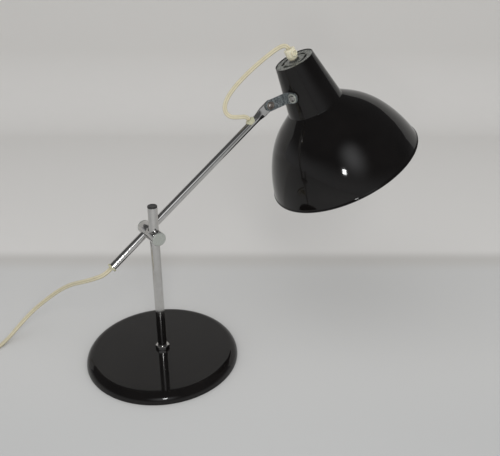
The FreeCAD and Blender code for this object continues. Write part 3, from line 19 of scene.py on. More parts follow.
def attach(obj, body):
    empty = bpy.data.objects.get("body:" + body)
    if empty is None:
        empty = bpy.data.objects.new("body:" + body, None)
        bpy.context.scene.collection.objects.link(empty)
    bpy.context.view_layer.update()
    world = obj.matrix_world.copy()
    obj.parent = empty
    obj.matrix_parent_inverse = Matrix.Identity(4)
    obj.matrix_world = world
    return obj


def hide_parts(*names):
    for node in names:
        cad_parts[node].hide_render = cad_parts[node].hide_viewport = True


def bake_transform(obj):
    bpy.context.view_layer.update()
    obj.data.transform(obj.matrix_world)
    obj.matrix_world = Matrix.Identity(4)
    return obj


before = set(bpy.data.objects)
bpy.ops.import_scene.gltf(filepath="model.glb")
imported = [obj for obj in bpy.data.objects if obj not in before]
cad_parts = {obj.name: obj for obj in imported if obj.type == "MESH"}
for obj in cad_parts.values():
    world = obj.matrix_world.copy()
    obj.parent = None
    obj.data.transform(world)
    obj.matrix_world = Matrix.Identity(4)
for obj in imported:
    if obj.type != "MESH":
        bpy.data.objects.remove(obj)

Piece = bpy.types.Object
Points = NDArray[np.float64]
Triple = tuple[float, float, float]

MM = 0.001
SHARP_ANGLE = math.radians(38.0)
FLAT_ANGLE = math.radians(0.6)
FULL_TURN = 2.0 * np.pi
MERGE_DISTANCE = 2e-6
SEAT_GAP = 0.05
FLEX_BORE = 2.95
log = logging.getLogger("desk_lamp")


# Frames of the sub-assemblies at rest

@dataclass(frozen=True)
class Frame:
    """A right-handed set of axes that a sub-assembly is drawn in."""

    origin: Triple
    x_axis: Triple
    y_axis: Triple
    z_axis: Triple

    def place(self, local: Points) -> Points:
        """Turns local millimetres into metres of the lamp's frame.

        Args:
            local: Points whose last axis holds x, y and z.

        Returns:
            origin + x times X axis + y times Y axis + z times Z axis, in metres.
        """
        axes = np.array([self.x_axis, self.y_axis, self.z_axis])
        return (np.asarray(self.origin) + np.asarray(local, float) @ axes) * MM

    def shifted(self, local: Triple) -> "Frame":
        """Moves the origin.

        Args:
            local: The new origin in this frame, in millimetres.

        Returns:
            The same axes about that point.
        """
        origin = self.place(np.array(local)) / MM
        return Frame(tuple(origin), self.x_axis, self.y_axis, self.z_axis)

    def turned(self, degrees: float) -> "Frame":
        """Turns the frame about its own Z axis.

        Args:
            degrees: Angle of the turn.

        Returns:
            The turned frame.
        """
        cosine, sine = math.cos(math.radians(degrees)), math.sin(math.radians(degrees))
        x_axis, y_axis = np.array(self.x_axis), np.array(self.y_axis)
        return Frame(self.origin, tuple(cosine * x_axis + sine * y_axis),
                     tuple(cosine * y_axis - sine * x_axis), self.z_axis)

    def facing(self, z_axis: Triple, x_axis: Triple) -> "Frame":
        """Points the axes another way.

        Args:
            z_axis: Direction of the new Z axis in this frame.
            x_axis: Direction of the new X axis in this frame.

        Returns:
            A frame at the same point with those axes.
        """
        axes = np.array([self.x_axis, self.y_axis, self.z_axis])
        ahead, side = np.array(z_axis) @ axes, np.array(x_axis) @ axes
        return Frame(self.origin, tuple(side), tuple(np.cross(ahead, side)), tuple(ahead))


GROUND = Frame((0.0, 0.0, 0.0), (1.0, 0.0, 0.0), (0.0, 1.0, 0.0), (0.0, 0.0, 1.0))
ARM = Frame((0.0, 17.0, 179.5), (-0.06605, -0.99365, 0.09108),
            (0.58335, -0.11251, -0.80439), (0.80953, 0.0, 0.58708))
HINGE = Frame((180.930, 17.0, 310.712), (0.96894, -0.04207, 0.24367),
              (-0.23830, 0.10435, 0.96557), (-0.06605, -0.99365, 0.09108))
TAB = Frame((207.493, 3.514, 318.725), (0.30817, -0.93471, 0.17706),
            (-0.23830, 0.10435, 0.96557), (-0.92100, -0.33975, -0.19058))
SHADE = Frame((222.612, 22.694, 363.523), (-0.85726, -0.37389, -0.35401),
              (-0.27539, 0.91387, -0.29832), (0.43505, -0.15825, -0.88639))
BARREL = Frame((0.0, 0.0, 179.5), (1.0, 0.0, 0.0), (0.0, 0.0, 1.0), (0.0, -1.0, 0.0))
GRIP = SHADE.facing((0.0, 0.0, -1.0), (1.0, 0.0, 0.0)).turned(70.0)
SWITCH = Frame((-254.6, 157.2, 0.0), (0.83667, -0.54771, 0.0), (0.54771, 0.83667, 0.0),
               (0.0, 0.0, 1.0))
COIL = Frame((-302.7, 114.5, 0.0), SWITCH.x_axis, SWITCH.y_axis, SWITCH.z_axis)
PLUG = Frame((-257.7, 68.3, 0.0), (-0.54771, -0.83667, 0.0), (0.83667, -0.54771, 0.0),
             (0.0, 0.0, 1.0))


# Meshes

def grid_faces(rows: int, columns: int, wrap_rows: bool, wrap_columns: bool) -> NDArray[np.int64]:
    """Quads of a grid of points numbered row by row.

    Args:
        rows: Number of rows of points.
        columns: Number of points in a row.
        wrap_rows: Whether the last row joins the first.
        wrap_columns: Whether the last column joins the first.

    Returns:
        Corner numbers, one row of four for each quad.
    """
    row = np.arange(rows if wrap_rows else rows - 1)[:, None]
    column = np.arange(columns if wrap_columns else columns - 1)[None, :]
    below = (row + 1) % rows
    after = (column + 1) % columns
    corners = [row * columns + column, row * columns + after,
               below * columns + after, below * columns + column]
    return np.stack([corner.ravel() for corner in corners], axis=1)


def in_scene(name: str, data: bpy.types.ID) -> Piece:
    """Makes an object of a mesh, lamp, camera or curve and puts it into the scene."""
    made = bpy.data.objects.new(name, data)
    bpy.context.scene.collection.objects.link(made)
    return made


def smooth(mesh: bpy.types.Mesh) -> None:
    """Shades a mesh smooth but for its sharp edges."""
    mesh.shade_smooth()
    mesh.set_sharp_from_angle(angle=SHARP_ANGLE)


def mesh_piece(name: str, points: Points, faces: list[list[int]],
               bands: NDArray[np.int64] | None = None, lay: Points | None = None) -> Piece:
    """Makes an object whose place is in its mesh.

    Args:
        name: Name of the piece.
        points: Corners in metres.
        faces: Corner numbers of each face.
        bands: Material index of each face.
        lay: Place of each corner along and across the piece, for its pattern.

    Returns:
        The new object, smooth but for its sharp edges, facing outwards.
    """
    mesh = bpy.data.meshes.new(name)
    mesh.from_pydata(points.tolist(), [], faces)
    if lay is not None:
        mesh.attributes.new("lay", "FLOAT_VECTOR", "POINT").data.foreach_set("vector", lay.ravel())
    if bands is not None:
        mesh.polygons.foreach_set("material_index", bands.astype(np.int32))
    work = bmesh.new()
    work.from_mesh(mesh)
    bmesh.ops.remove_doubles(work, verts=work.verts, dist=1e-7)
    bmesh.ops.recalc_face_normals(work, faces=work.faces)
    work.to_mesh(mesh)
    work.free()
    smooth(mesh)
    return in_scene(name, mesh)


def grid_piece(name: str, grid: Points, wrap_rows: bool = False, wrap_columns: bool = True,
               capped: bool = False, row_bands: NDArray[np.int64] | None = None,
               column_bands: NDArray[np.int64] | None = None,
               lay: Points | None = None) -> Piece:
    """Makes an object from a grid of points.

    Args:
        name: Name of the piece.
        grid: Points as (rows, columns, 3), in metres.
        wrap_rows: Whether the last row joins the first.
        wrap_columns: Whether the last column joins the first.
        capped: Whether the first and the last row are closed with a flat face.
        row_bands: Material index of each row of faces.
        column_bands: Material index of each column of faces.
        lay: Place of each corner along and across the piece, for its pattern.

    Returns:
        The new object.
    """
    rows, columns = grid.shape[:2]
    quads = grid_faces(rows, columns, wrap_rows, wrap_columns)
    faces = quads.tolist()
    bands = None
    if row_bands is not None:
        bands = np.repeat(row_bands, len(quads) // len(row_bands))
    if column_bands is not None:
        bands = np.tile(column_bands, len(quads) // len(column_bands))
    if capped:
        faces.append(list(range(columns)))
        faces.append(list(range((rows - 1) * columns, rows * columns)))
        if bands is not None:
            bands = np.append(bands, [bands[0], bands[-1]])
    return mesh_piece(name, grid.reshape(-1, 3), faces, bands, lay)


def rounded_profile(corners: list[Triple], steps: int = 6, closed: bool = True) -> Points:
    """A polygon whose corners are rounded.

    Each corner (x, y, radius) gives a quarter-like arc that touches both of its
    sides: points are centre + radius times a direction swept between the normals.

    Args:
        corners: Corner places and radii; 0 keeps a corner sharp.
        steps: Points on each arc.
        closed: Whether the outline closes; otherwise its two ends stay sharp.

    Returns:
        The outline's points as (n, 2).
    """
    table = np.array(corners, float)
    place, radius = table[:, :2], np.maximum(table[:, 2], 1e-4)
    if not closed:
        radius[0] = radius[-1] = 1e-4
    back = np.roll(place, 1, axis=0) - place
    ahead = np.roll(place, -1, axis=0) - place
    if not closed:
        back[0], ahead[-1] = -ahead[0], -back[-1]
    back /= np.linalg.norm(back, axis=1, keepdims=True)
    ahead /= np.linalg.norm(ahead, axis=1, keepdims=True)
    half = 0.5 * np.arccos(np.clip((back * ahead).sum(1), -1.0, 1.0))
    straight = half > math.radians(89.0)
    trim = np.where(straight, 0.0, radius / np.tan(np.maximum(half, 1e-3)))
    share = np.linspace(0.0, 1.0, steps)[None, :, None]
    start = (place + back * trim[:, None])[:, None, :]
    end = (place + ahead * trim[:, None])[:, None, :]
    middle = back + ahead
    middle /= np.maximum(np.linalg.norm(middle, axis=1, keepdims=True), 1e-9)
    centre = (place + middle * (radius / np.sin(np.maximum(half, 1e-3)))[:, None])[:, None, :]
    chord = start + (end - start) * share
    ray = chord - centre
    length = np.maximum(np.linalg.norm(ray, axis=2, keepdims=True), 1e-9)
    arc = centre + ray / length * radius[:, None, None]
    points = np.where(straight[:, None, None], chord, arc)
    return points.reshape(-1, 2)


def revolve(name: str, profile: Points, place: Frame, segments: int = 128, closed: bool = True,
            row_bands: NDArray[np.int64] | None = None,
            swell: Points | None = None) -> Piece:
    """Turns a profile about the frame's Z axis.

    A point of the surface is (r cos t, r sin t, h) for each (r, h) of the profile.

    Args:
        name: Name of the piece.
        profile: Radius and height of each point.
        place: Frame of the piece.
        segments: Number of steps round the axis.
        closed: Whether the profile closes on itself.
        row_bands: Material index of each row of faces.
        swell: What is added to the radius, one row for each profile point.

    Returns:
        The turned object.
    """
    turn = around(segments)[None, :]
    radius, height = profile[:, 0, None] + 0.0 * turn, profile[:, 1, None]
    if swell is not None:
        radius = radius + swell
    grid = np.stack([radius * np.cos(turn), radius * np.sin(turn),
                     height + 0.0 * turn], axis=-1)
    return grid_piece(name, place.place(grid), closed, True, False, row_bands)


def lathe(name: str, corners: list[Triple], place: Frame, segments: int, steps: int = 6,
          closed: bool = True) -> Piece:
    """Turns an outline with rounded corners about the frame's Z axis.

    Args:
        name: Name of the piece.
        corners: Radius, height and rounding of each corner.
        place: Frame of the piece.
        segments: Number of steps round the axis.
        steps: Points on each rounding.
        closed: Whether the outline closes on itself; otherwise it ends on the axis.

    Returns:
        The turned object.
    """
    return revolve(name, rounded_profile(corners, steps, closed), place, segments, closed)


def unit(vectors: Points) -> Points:
    """Returns the vectors with length one."""
    return vectors / np.maximum(np.linalg.norm(vectors, axis=-1, keepdims=True), 1e-12)


def sweep(name: str, path: Points, section: Points, reference: Points) -> Piece:
    """Carries a section along a path.

    The section's x axis is the path's direction crossed with the reference, and
    its y axis is square to both, so a flat cord keeps its face to the reference.

    Args:
        name: Name of the piece.
        path: Points in metres.
        section: Section points in metres, as (n, 2), or one section for each point.
        reference: Direction that the section's y axis leans to, one or one for each point.

    Returns:
        The swept object with closed ends.
    """
    along = unit(np.gradient(path, axis=0))
    side = unit(np.cross(along, reference))
    lift = np.cross(side, along)
    across = np.broadcast_to(section, (len(path), *section.shape[-2:]))
    grid = (path[:, None, :] + side[:, None, :] * across[:, :, :1]
            + lift[:, None, :] * across[:, :, 1:])
    distance = np.broadcast_to(run_lengths(path)[:, None, None], (*across.shape[:2], 1))
    lay = np.concatenate([distance, across], axis=2)
    return grid_piece(name, grid, False, True, True, lay=lay)


def settled(piece: Piece) -> Piece:
    """Applies a piece's modifiers and drops faces without an area.

    Args:
        piece: The piece.

    Returns:
        The same piece, with a new mesh.
    """
    bpy.context.view_layer.update()
    graph = bpy.context.evaluated_depsgraph_get()
    mesh = bpy.data.meshes.new_from_object(piece.evaluated_get(graph))
    piece.modifiers.clear()
    piece.data = mesh
    work = bmesh.new()
    work.from_mesh(mesh)
    bmesh.ops.dissolve_degenerate(work, dist=MERGE_DISTANCE, edges=work.edges)
    work.to_mesh(mesh)
    work.free()
    smooth(mesh)
    return piece


def softened(name: str, node: str, width: float, segments: int = 2) -> Piece:
    """Copies a node's shape, merges its triangles and rounds its sharp edges.

    Args:
        name: Name of the piece.
        node: CAD node whose shape is copied.
        width: Width of the rounding in millimetres.
        segments: Faces across the rounding.

    Returns:
        The new object.
    """
    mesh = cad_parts[node].data.copy()
    work = bmesh.new()
    work.from_mesh(mesh)
    bmesh.ops.remove_doubles(work, verts=work.verts, dist=MERGE_DISTANCE)
    bmesh.ops.dissolve_limit(work, angle_limit=FLAT_ANGLE, verts=work.verts, edges=work.edges)
    for face in work.faces:
        face.material_index = 0
    work.to_mesh(mesh)
    work.free()
    mesh.materials.clear()
    return eased_edges(in_scene(name, mesh), width, segments)


def carve(piece: Piece, *cutters: Piece) -> Piece:
    """Cuts shapes out of a piece.

    Args:
        piece: The piece.
        cutters: Shapes to cut with, which are removed.

    Returns:
        The same piece.
    """
    for cutter in cutters:
        cut = piece.modifiers.new("cut", "BOOLEAN")
        cut.operation = "DIFFERENCE"
        cut.solver = "EXACT"
        cut.object = cutter
        settled(piece)
        bpy.data.objects.remove(cutter)
    return piece


def eased_edges(piece: Piece, width: float, segments: int = 2, band: int = -1,
                angle: float = 32.0) -> Piece:
    """Rounds the sharp edges of a piece.

    Args:
        piece: The piece.
        width: Width of the rounding in millimetres.
        segments: Faces across the rounding.
        band: Material index of the rounding, or -1 for that of its neighbours.
        angle: Least angle in degrees that is rounded.

    Returns:
        The same piece.
    """
    bevel = piece.modifiers.new("round", "BEVEL")
    bevel.width = width * MM
    bevel.segments = segments
    bevel.limit_method = "ANGLE"
    bevel.angle_limit = math.radians(angle)
    bevel.miter_outer = "MITER_ARC"
    bevel.material = band
    return settled(piece)


def box_piece(name: str, size: Triple, centre: Triple, place: Frame) -> Piece:
    """Makes a box to cut with.

    Args:
        name: Name of the box.
        size: Size along the frame's axes.
        centre: Centre in the frame.
        place: Frame of the box.

    Returns:
        The box.
    """
    half = np.array(size) / 2
    signs = np.array([[-1, -1], [1, -1], [1, 1], [-1, 1]], float)
    low = np.column_stack([signs * half[:2], np.full(4, -half[2])])
    high = np.column_stack([signs * half[:2], np.full(4, half[2])])
    grid = np.array(centre) + np.stack([low, high])
    return grid_piece(name, place.place(grid), False, True, True)


def rod_piece(name: str, radius: float, low: float, high: float, place: Frame,
              segments: int = 64) -> Piece:
    """Makes a plain rod to cut with, along the frame's Z axis."""
    profile = np.array([[0.0, low], [radius, low], [radius, high], [0.0, high]])
    return revolve(name, profile, place, segments, False)


def run_lengths(path: Points) -> NDArray[np.float64]:
    """Returns the distance along the path at each of its points."""
    steps = np.linalg.norm(np.diff(path, axis=0), axis=1)
    return np.concatenate([[0.0], np.cumsum(steps)])


def eased(share: NDArray[np.float64]) -> NDArray[np.float64]:
    """Returns 3 s squared minus 2 s cubed, with s held between 0 and 1."""
    held = np.clip(share, 0.0, 1.0)
    return held * held * (3.0 - 2.0 * held)


def around(count: int) -> NDArray[np.float64]:
    """Returns evenly spaced angles over a full turn."""
    return np.linspace(0.0, FULL_TURN, count, endpoint=False)


def circle(angles: NDArray[np.float64], radius: float = 1.0) -> Points:
    """Returns points of a circle about the origin, as (n, 2)."""
    return radius * np.stack([np.cos(angles), np.sin(angles)], 1)


def outline_inset(outline: Points, depth: float) -> Points:
    """Moves each point of a smooth outline inwards, square to the outline.

    Args:
        outline: Outline as (n, 2).
        depth: How far the points move.

    Returns:
        The smaller outline.
    """
    along = unit(np.roll(outline, -1, axis=0) - np.roll(outline, 1, axis=0))
    area = np.cross(outline, np.roll(outline, -1, axis=0)).sum()
    inward = np.stack([-along[:, 1], along[:, 0]], 1) * math.copysign(1.0, area)
    return outline + inward * depth


def pillow(name: str, outline: Points, levels: Points, place: Frame,
           ribs: Points | None = None) -> Piece:
    """Stacks an outline in levels that each have a height and an inset.

    Args:
        name: Name of the piece.
        outline: Smooth outline as (n, 2).
        levels: Height and inset of each level, from one flat face to the other.
        place: Frame of the piece.
        ribs: Shift of each point of the outline, which fades to nothing at the largest inset.

    Returns:
        The new object, closed at both ends.
    """
    shift = np.zeros_like(outline) if ribs is None else ribs
    most = max(levels[:, 1].max(), 1e-9)
    rings = [np.column_stack([outline_inset(outline, inset) + shift * (1.0 - inset / most),
                              np.full(len(outline), height)]) for height, inset in levels]
    return grid_piece(name, place.place(np.stack(rings)), False, True, True)


def round_levels(low: float, high: float, low_edge: float, high_edge: float, steps: int = 7) -> Points:
    """Heights and insets of a slab whose two edges are quarter rounds.

    Args:
        low: Height of the lower face.
        high: Height of the upper face.
        low_edge: Rounding of the lower edge.
        high_edge: Rounding of the upper edge.
        steps: Levels of each rounding.

    Returns:
        Height and inset of each level, from the lower face up.
    """
    turn = np.linspace(0.0, np.pi / 2, steps)
    foot = np.stack([low + low_edge * (1 - np.sin(turn)), low_edge * (1 - np.cos(turn))], 1)[::-1]
    head = np.stack([high - high_edge * (1 - np.sin(turn)), high_edge * (1 - np.cos(turn))], 1)
    return np.concatenate([foot, head])


def hexagon_nut(name: str, flats: float, bore: float, low: float, high: float, place: Frame,
                soft: float = 0.25) -> Piece:
    """Makes a hexagon nut with its corners turned off at both faces.

    The outside's radius is the smaller of the hexagon, half the flats over the
    cosine of the angle from the nearest flat, and a cone that leaves each face
    at 30 degrees. The hole's two ends are bevelled by the soft size.

    Args:
        name: Name of the piece.
        flats: Width across flats.
        bore: Radius of the hole.
        low: Height of the lower face.
        high: Height of the upper face.
        place: Frame of the piece, with its X square to a flat.
        soft: Bevel of the hole.

    Returns:
        The nut.
    """
    count, trim = 144, 0.25
    turn = around(count)
    lean = (turn + np.pi / 6) % (np.pi / 3) - np.pi / 6
    hexagon = flats / 2 / np.cos(lean)
    slope = min(flats * 0.1, (high - low) * 0.45)
    rise = np.concatenate([np.linspace(0.0, slope, 14), [(high - low) / 2]])
    cone = flats / 2 - trim + rise / math.tan(math.radians(30.0))
    side = np.minimum(hexagon[None, :], cone[:, None])
    hole, mouth = np.full(count, bore), np.full(count, bore + soft)
    rows = [(hole, low + soft), (mouth, low)]
    rows += [(radius, low + height) for radius, height in zip(side, rise)]
    rows += [(radius, high - height) for radius, height in zip(side[::-1], rise[::-1])][1:]
    rows += [(mouth, high), (hole, high - soft)]
    grid = np.stack([np.stack([radius * np.cos(turn), radius * np.sin(turn),
                               np.full(count, height)], -1) for radius, height in rows])
    return grid_piece(name, place.place(grid), True, True)


def joined(name: str, pieces: list[Piece]) -> Piece:
    """Joins pieces into one object.

    Args:
        name: Name of the new object.
        pieces: The pieces, which are removed.

    Returns:
        The new object.
    """
    work = bmesh.new()
    for piece in pieces:
        work.from_mesh(piece.data)
    mesh = bpy.data.meshes.new(name)
    work.to_mesh(mesh)
    work.free()
    for piece in pieces:
        bpy.data.objects.remove(piece)
    smooth(mesh)
    return in_scene(name, mesh)


# Finishes

SMEAR_SHARE = 0.35  # smears are about three grains wide
LEAST_ROUGHNESS = 0.01
BUMP_STRENGTH = 0.6
SCATTER = (1.0, 0.8, 0.6)
SCATTER_DEPTH = 0.002
# Distance from the flex's middle where the painted shade starts and where it is full, in metres, and its
# depth
GROOVE_PAINTED_SHADE = (0.0008, 0.0001, 0.75)
EDGE_PAINTED_SHADE = (0.0022, 0.0028, 0.5)


@dataclass
class Wiring:
    """Adds nodes to a material or a world and links them as it goes."""

    tree: bpy.types.NodeTree

    def feed(self, node: bpy.types.Node, inputs: dict[str | int, Any]) -> None:
        """Fills inputs of a node.

        Args:
            node: The node.
            inputs: For each input a socket to link it to, or its constant.
        """
        for name, value in inputs.items():
            if isinstance(value, bpy.types.NodeSocket):
                self.tree.links.new(value, node.inputs[name])
            else:
                node.inputs[name].default_value = value

    def add(self, kind: str, output: str, inputs: dict[str | int, Any],
            **settings: Any) -> bpy.types.NodeSocket:
        """Adds a node.

        Args:
            kind: Kind of node, without the word ShaderNode.
            output: Name of the output that is wanted.
            inputs: For each input a socket to link it to, or its constant.
            settings: Settings of the node itself.

        Returns:
            The wanted output.
        """
        node = self.tree.nodes.new(f"ShaderNode{kind}")
        for name, value in settings.items():
            setattr(node, name, value)
        self.feed(node, inputs)
        return node.outputs[output]


class Grain(Enum):
    """Fine pattern that a finish shows."""

    CLOUD = "cloud"
    CELLS = "cells"
    CORD = "cord"


@dataclass(frozen=True)
class Finish:
    """A surface finish: two colours mixed by its grain, with gloss and relief."""

    name: str
    colour: Triple
    second: Triple
    roughness: float
    roughness_swing: float = 0.04
    metallic: float = 0.0
    grain: Grain = Grain.CLOUD
    grain_size: float = 4.0
    contrast: float = 0.5
    relief: float = 0.01
    relief_size: float = 0.6
    coat: float = 0.0
    coat_roughness: float = 0.06
    specular: float = 0.5
    sheen: float = 0.0
    subsurface: float = 0.0
    transmission: float = 0.0
    ior: float = 1.5

    def make(self) -> bpy.types.Material:
        """Builds the node material, or returns it if it is there already."""
        name = f"{self.name}_finish"
        known = bpy.data.materials.get(name)
        if known:
            return known
        material = bpy.data.materials.new(name)
        material.use_nodes = True
        wiring = Wiring(material.node_tree)
        shader = material.node_tree.nodes["Principled BSDF"]
        where = wiring.add("TexCoord", "Object", {})
        smear = wiring.add("TexNoise", "Fac", {"Scale": SMEAR_SHARE / (self.grain_size * MM),
                                               "Detail": 5.0, "Vector": where})
        wiring.feed(shader, {
            "Base Color": wiring.add("Mix", "Result", {
                "A": (*self.colour, 1.0), "B": (*self.second, 1.0),
                "Factor": self._pattern(wiring, where)}, data_type="RGBA"),
            "Roughness": wiring.add("MapRange", "Result", {
                "To Min": max(self.roughness - self.roughness_swing, LEAST_ROUGHNESS),
                "To Max": self.roughness + self.roughness_swing, "Value": smear}),
            "Metallic": self.metallic, "IOR": self.ior, "Specular IOR Level": self.specular,
            "Coat Weight": self.coat, "Coat Roughness": self.coat_roughness,
            "Sheen Weight": self.sheen, "Transmission Weight": self.transmission})
        if self.subsurface:
            wiring.feed(shader, {"Subsurface Weight": self.subsurface,
                                 "Subsurface Radius": SCATTER, "Subsurface Scale": SCATTER_DEPTH})
        if self.relief:
            fine = wiring.add("TexNoise", "Fac", {"Scale": 1.0 / (self.relief_size * MM),
                                                  "Detail": 3.0, "Vector": where})
            wiring.feed(shader, {"Normal": wiring.add("Bump", "Normal", {
                "Strength": BUMP_STRENGTH, "Distance": self.relief * MM, "Height": fine})})
        return material

    def _pattern(self, wiring: Wiring, where: bpy.types.NodeSocket) -> bpy.types.NodeSocket:
        """Adds the nodes of the grain.

        Args:
            wiring: Wiring of the material.
            where: Socket with the place on the piece.

        Returns:
            Socket that runs from 0 to 1 with the grain.
        """
        scale = 1.0 / (self.grain_size * MM)
        if self.grain is Grain.CELLS:
            cells = wiring.add("TexVoronoi", "Color", {"Scale": scale, "Vector": where})
            source = wiring.add("SeparateColor", "Red", {"Color": cells})
        else:
            source = wiring.add("TexNoise", "Fac", {"Scale": scale, "Detail": 6.0, "Roughness": 0.6,
                                                    "Vector": where})
        shade = wiring.add("MapRange", "Result", {
            "From Min": 0.5 - 0.5 * self.contrast, "From Max": 0.5 + 0.5 * self.contrast,
            "Value": source}, interpolation_type="SMOOTHSTEP")
        return self._cord_shade(wiring, shade) if self.grain is Grain.CORD else shade

    def _cord_shade(self, wiring: Wiring, cloud: bpy.types.NodeSocket) -> bpy.types.NodeSocket:
        """Adds painted shade in the groove and along the rounded edges of a flat flex to the cloud.

        Args:
            wiring: Wiring of the material.
            cloud: Socket with the cloudy part.

        Returns:
            Socket that runs from 0, unshaded, to 1, painted shade in the groove and at the edges.
        """
        lay = wiring.add("Attribute", "Vector", {}, attribute_name="lay")
        across = wiring.add("SeparateXYZ", "Y", {"Vector": lay})
        side = wiring.add("Math", "Value", {0: across}, operation="ABSOLUTE")
        shade = cloud
        for start, end, depth in (GROOVE_PAINTED_SHADE, EDGE_PAINTED_SHADE):
            band = wiring.add("MapRange", "Result", {
                "From Min": start, "From Max": end, "To Max": depth, "Value": side},
                interpolation_type="SMOOTHSTEP")
            shade = wiring.add("Math", "Value", {0: shade, 1: band}, operation="ADD", use_clamp=True)
        return shade


BLACK_ENAMEL = Finish("black_enamel", (0.0042, 0.0036, 0.0034), (0.0062, 0.0053, 0.005), 0.07, 0.02,
                      grain_size=30.0, relief=0.003, relief_size=2.2, specular=0.34)
WHITE_ENAMEL = Finish("white_enamel", (0.74, 0.72, 0.66), (0.7, 0.68, 0.61), 0.3,
                      grain_size=25.0, relief=0.01, relief_size=1.5)
CHROME = Finish("chrome", (0.62, 0.61, 0.6), (0.56, 0.55, 0.53), 0.1, 0.015, metallic=1.0,
                grain_size=8.0, relief=0.0)
ZINC = Finish("zinc", (0.07, 0.085, 0.09), (0.3, 0.325, 0.33), 0.36, 0.08, metallic=0.7,
              grain=Grain.CELLS, grain_size=1.3, contrast=1.0, relief=0.03, relief_size=0.4)
PLATE = Finish("grey_plate", (0.62, 0.64, 0.6), (0.46, 0.48, 0.44), 0.36, 0.08, metallic=0.85,
               grain_size=1.8, contrast=0.9, relief=0.02, relief_size=0.4)
STEEL = Finish("bright_steel", (0.5, 0.49, 0.47), (0.42, 0.41, 0.39), 0.22, 0.08, metallic=1.0,
               grain_size=0.8, contrast=0.8, relief=0.01, relief_size=0.3)
# Darker brownish steel for the eyelet; the darkness is painted shade for its dark hole
PAINTED_SHADE_STEEL = Finish("painted_shade_steel", (0.3, 0.26, 0.23), (0.17, 0.15, 0.135), 0.3, 0.08, metallic=0.9,
                    grain_size=1.0, contrast=0.8, relief=0.01, relief_size=0.3)
BRASS = Finish("brass", (0.5, 0.34, 0.12), (0.4, 0.26, 0.09), 0.3, 0.08, metallic=1.0,
               grain_size=2.0, relief=0.01, relief_size=0.3)
CAST_IRON = Finish("cast_iron", (0.05, 0.05, 0.052), (0.09, 0.088, 0.085), 0.7, 0.1, metallic=0.6,
                   grain_size=2.0, relief=0.25, relief_size=1.2)
FELT = Finish("felt", (0.012, 0.014, 0.013), (0.03, 0.032, 0.03), 0.95, 0.03,
              grain_size=0.7, contrast=0.7, relief=0.2, relief_size=0.35,
              sheen=0.4, specular=0.1)
DARK_PLASTIC = Finish("dark_plastic", (0.016, 0.016, 0.016), (0.026, 0.026, 0.025), 0.4,
                      grain_size=2.0, relief=0.02)
NYLON = Finish("nylon", (0.62, 0.58, 0.45), (0.55, 0.5, 0.38), 0.42, grain_size=3.0,
               subsurface=0.3)
PALE_BUSH = Finish("pale_bush", (0.5, 0.49, 0.36), (0.4, 0.39, 0.27), 0.34, grain_size=2.0,
                   subsurface=0.4, relief=0.015)
GREY_SPECKLE = Finish("grey_speckle", (0.075, 0.08, 0.072), (0.36, 0.37, 0.34), 0.4, 0.1,
                      metallic=0.5, grain=Grain.CELLS, grain_size=1.3, contrast=0.9,
                      relief=0.05, relief_size=0.7)
# Pale metal for rounded edges: a painted highlight
PAINTED_HIGHLIGHT_EDGE = Finish("painted_highlight_edge", (0.72, 0.72, 0.69), (0.56, 0.56, 0.53), 0.34, 0.06, metallic=0.7,
                     grain_size=0.6, contrast=0.8, relief=0.01, relief_size=0.3)
CREAM_PLASTIC = Finish("cream_plastic", (0.74, 0.7, 0.54), (0.66, 0.61, 0.44), 0.34,
                       grain_size=5.0, relief=0.012, relief_size=0.9, subsurface=0.15)
DARK_CREAM = Finish("dark_cream", (0.42, 0.36, 0.22), (0.36, 0.3, 0.18), 0.3,
                    grain_size=4.0, relief=0.01)
BAKELITE = Finish("bakelite", (0.008, 0.007, 0.006), (0.016, 0.012, 0.01), 0.22, 0.06,
                  grain_size=6.0, relief=0.01, coat=0.2)
PORCELAIN = Finish("porcelain", (0.7, 0.69, 0.63), (0.62, 0.6, 0.54), 0.18, grain_size=7.0,
                   coat=0.5)
FROSTED_GLASS = Finish("frosted_glass", (0.8, 0.8, 0.77), (0.74, 0.74, 0.7), 0.4, 0.06,
                       grain_size=10.0, relief=0.02, relief_size=0.3, transmission=0.3,
                       subsurface=0.4)
# Cream flex; its cord grain adds painted shade in the groove and at the rounded edges
FLEX = Finish("cream_flex", (0.68, 0.63, 0.47), (0.47, 0.42, 0.28), 0.42, 0.08, grain=Grain.CORD,
              grain_size=9.0, contrast=1.6, relief=0.03, relief_size=0.8, subsurface=0.1)

NODE_FINISHES: dict[str, Finish] = {
    "base_weight": CAST_IRON, "base_felt": FELT, "lock_washer": ZINC, "lock_nut": ZINC,
    "post_liner": NYLON, "front_pad": BRASS, "front_spring": STEEL, "rear_pad": BRASS,
    "rear_spring": STEEL, "pivot_rivet": STEEL, "thrust_washer": STEEL, "arm_liner": NYLON,
    "hinge_washer": NYLON, "tilt_spacer": NYLON, "tilt_inner_washer": ZINC, "tilt_nut": ZINC,
    "holder_nipple": BRASS, "holder_insert": PORCELAIN, "centre_contact": BRASS,
}


def finished(piece: Piece, body: str, slot: str, finishes: list[Finish],
             *nodes: str) -> Piece:
    """Gives a piece its finishes and its body, and hides the CAD nodes that it stands for.

    Args:
        piece: The new piece.
        body: Body that it rides on, or nothing where it bends between two.
        slot: Material slot of the record; not used.
        finishes: Finishes in the order of the piece's material indices.
        nodes: CAD nodes that the piece stands for.

    Returns:
        The same piece.
    """
    piece.data.materials.clear()
    for finish in finishes:
        piece.data.materials.append(finish.make())
    if nodes:
        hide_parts(*nodes)
    if body:
        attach(piece, body)
    log.info("%s: %d faces on %s", piece.name, len(piece.data.polygons), body or "two bodies")
    return piece


# Studio

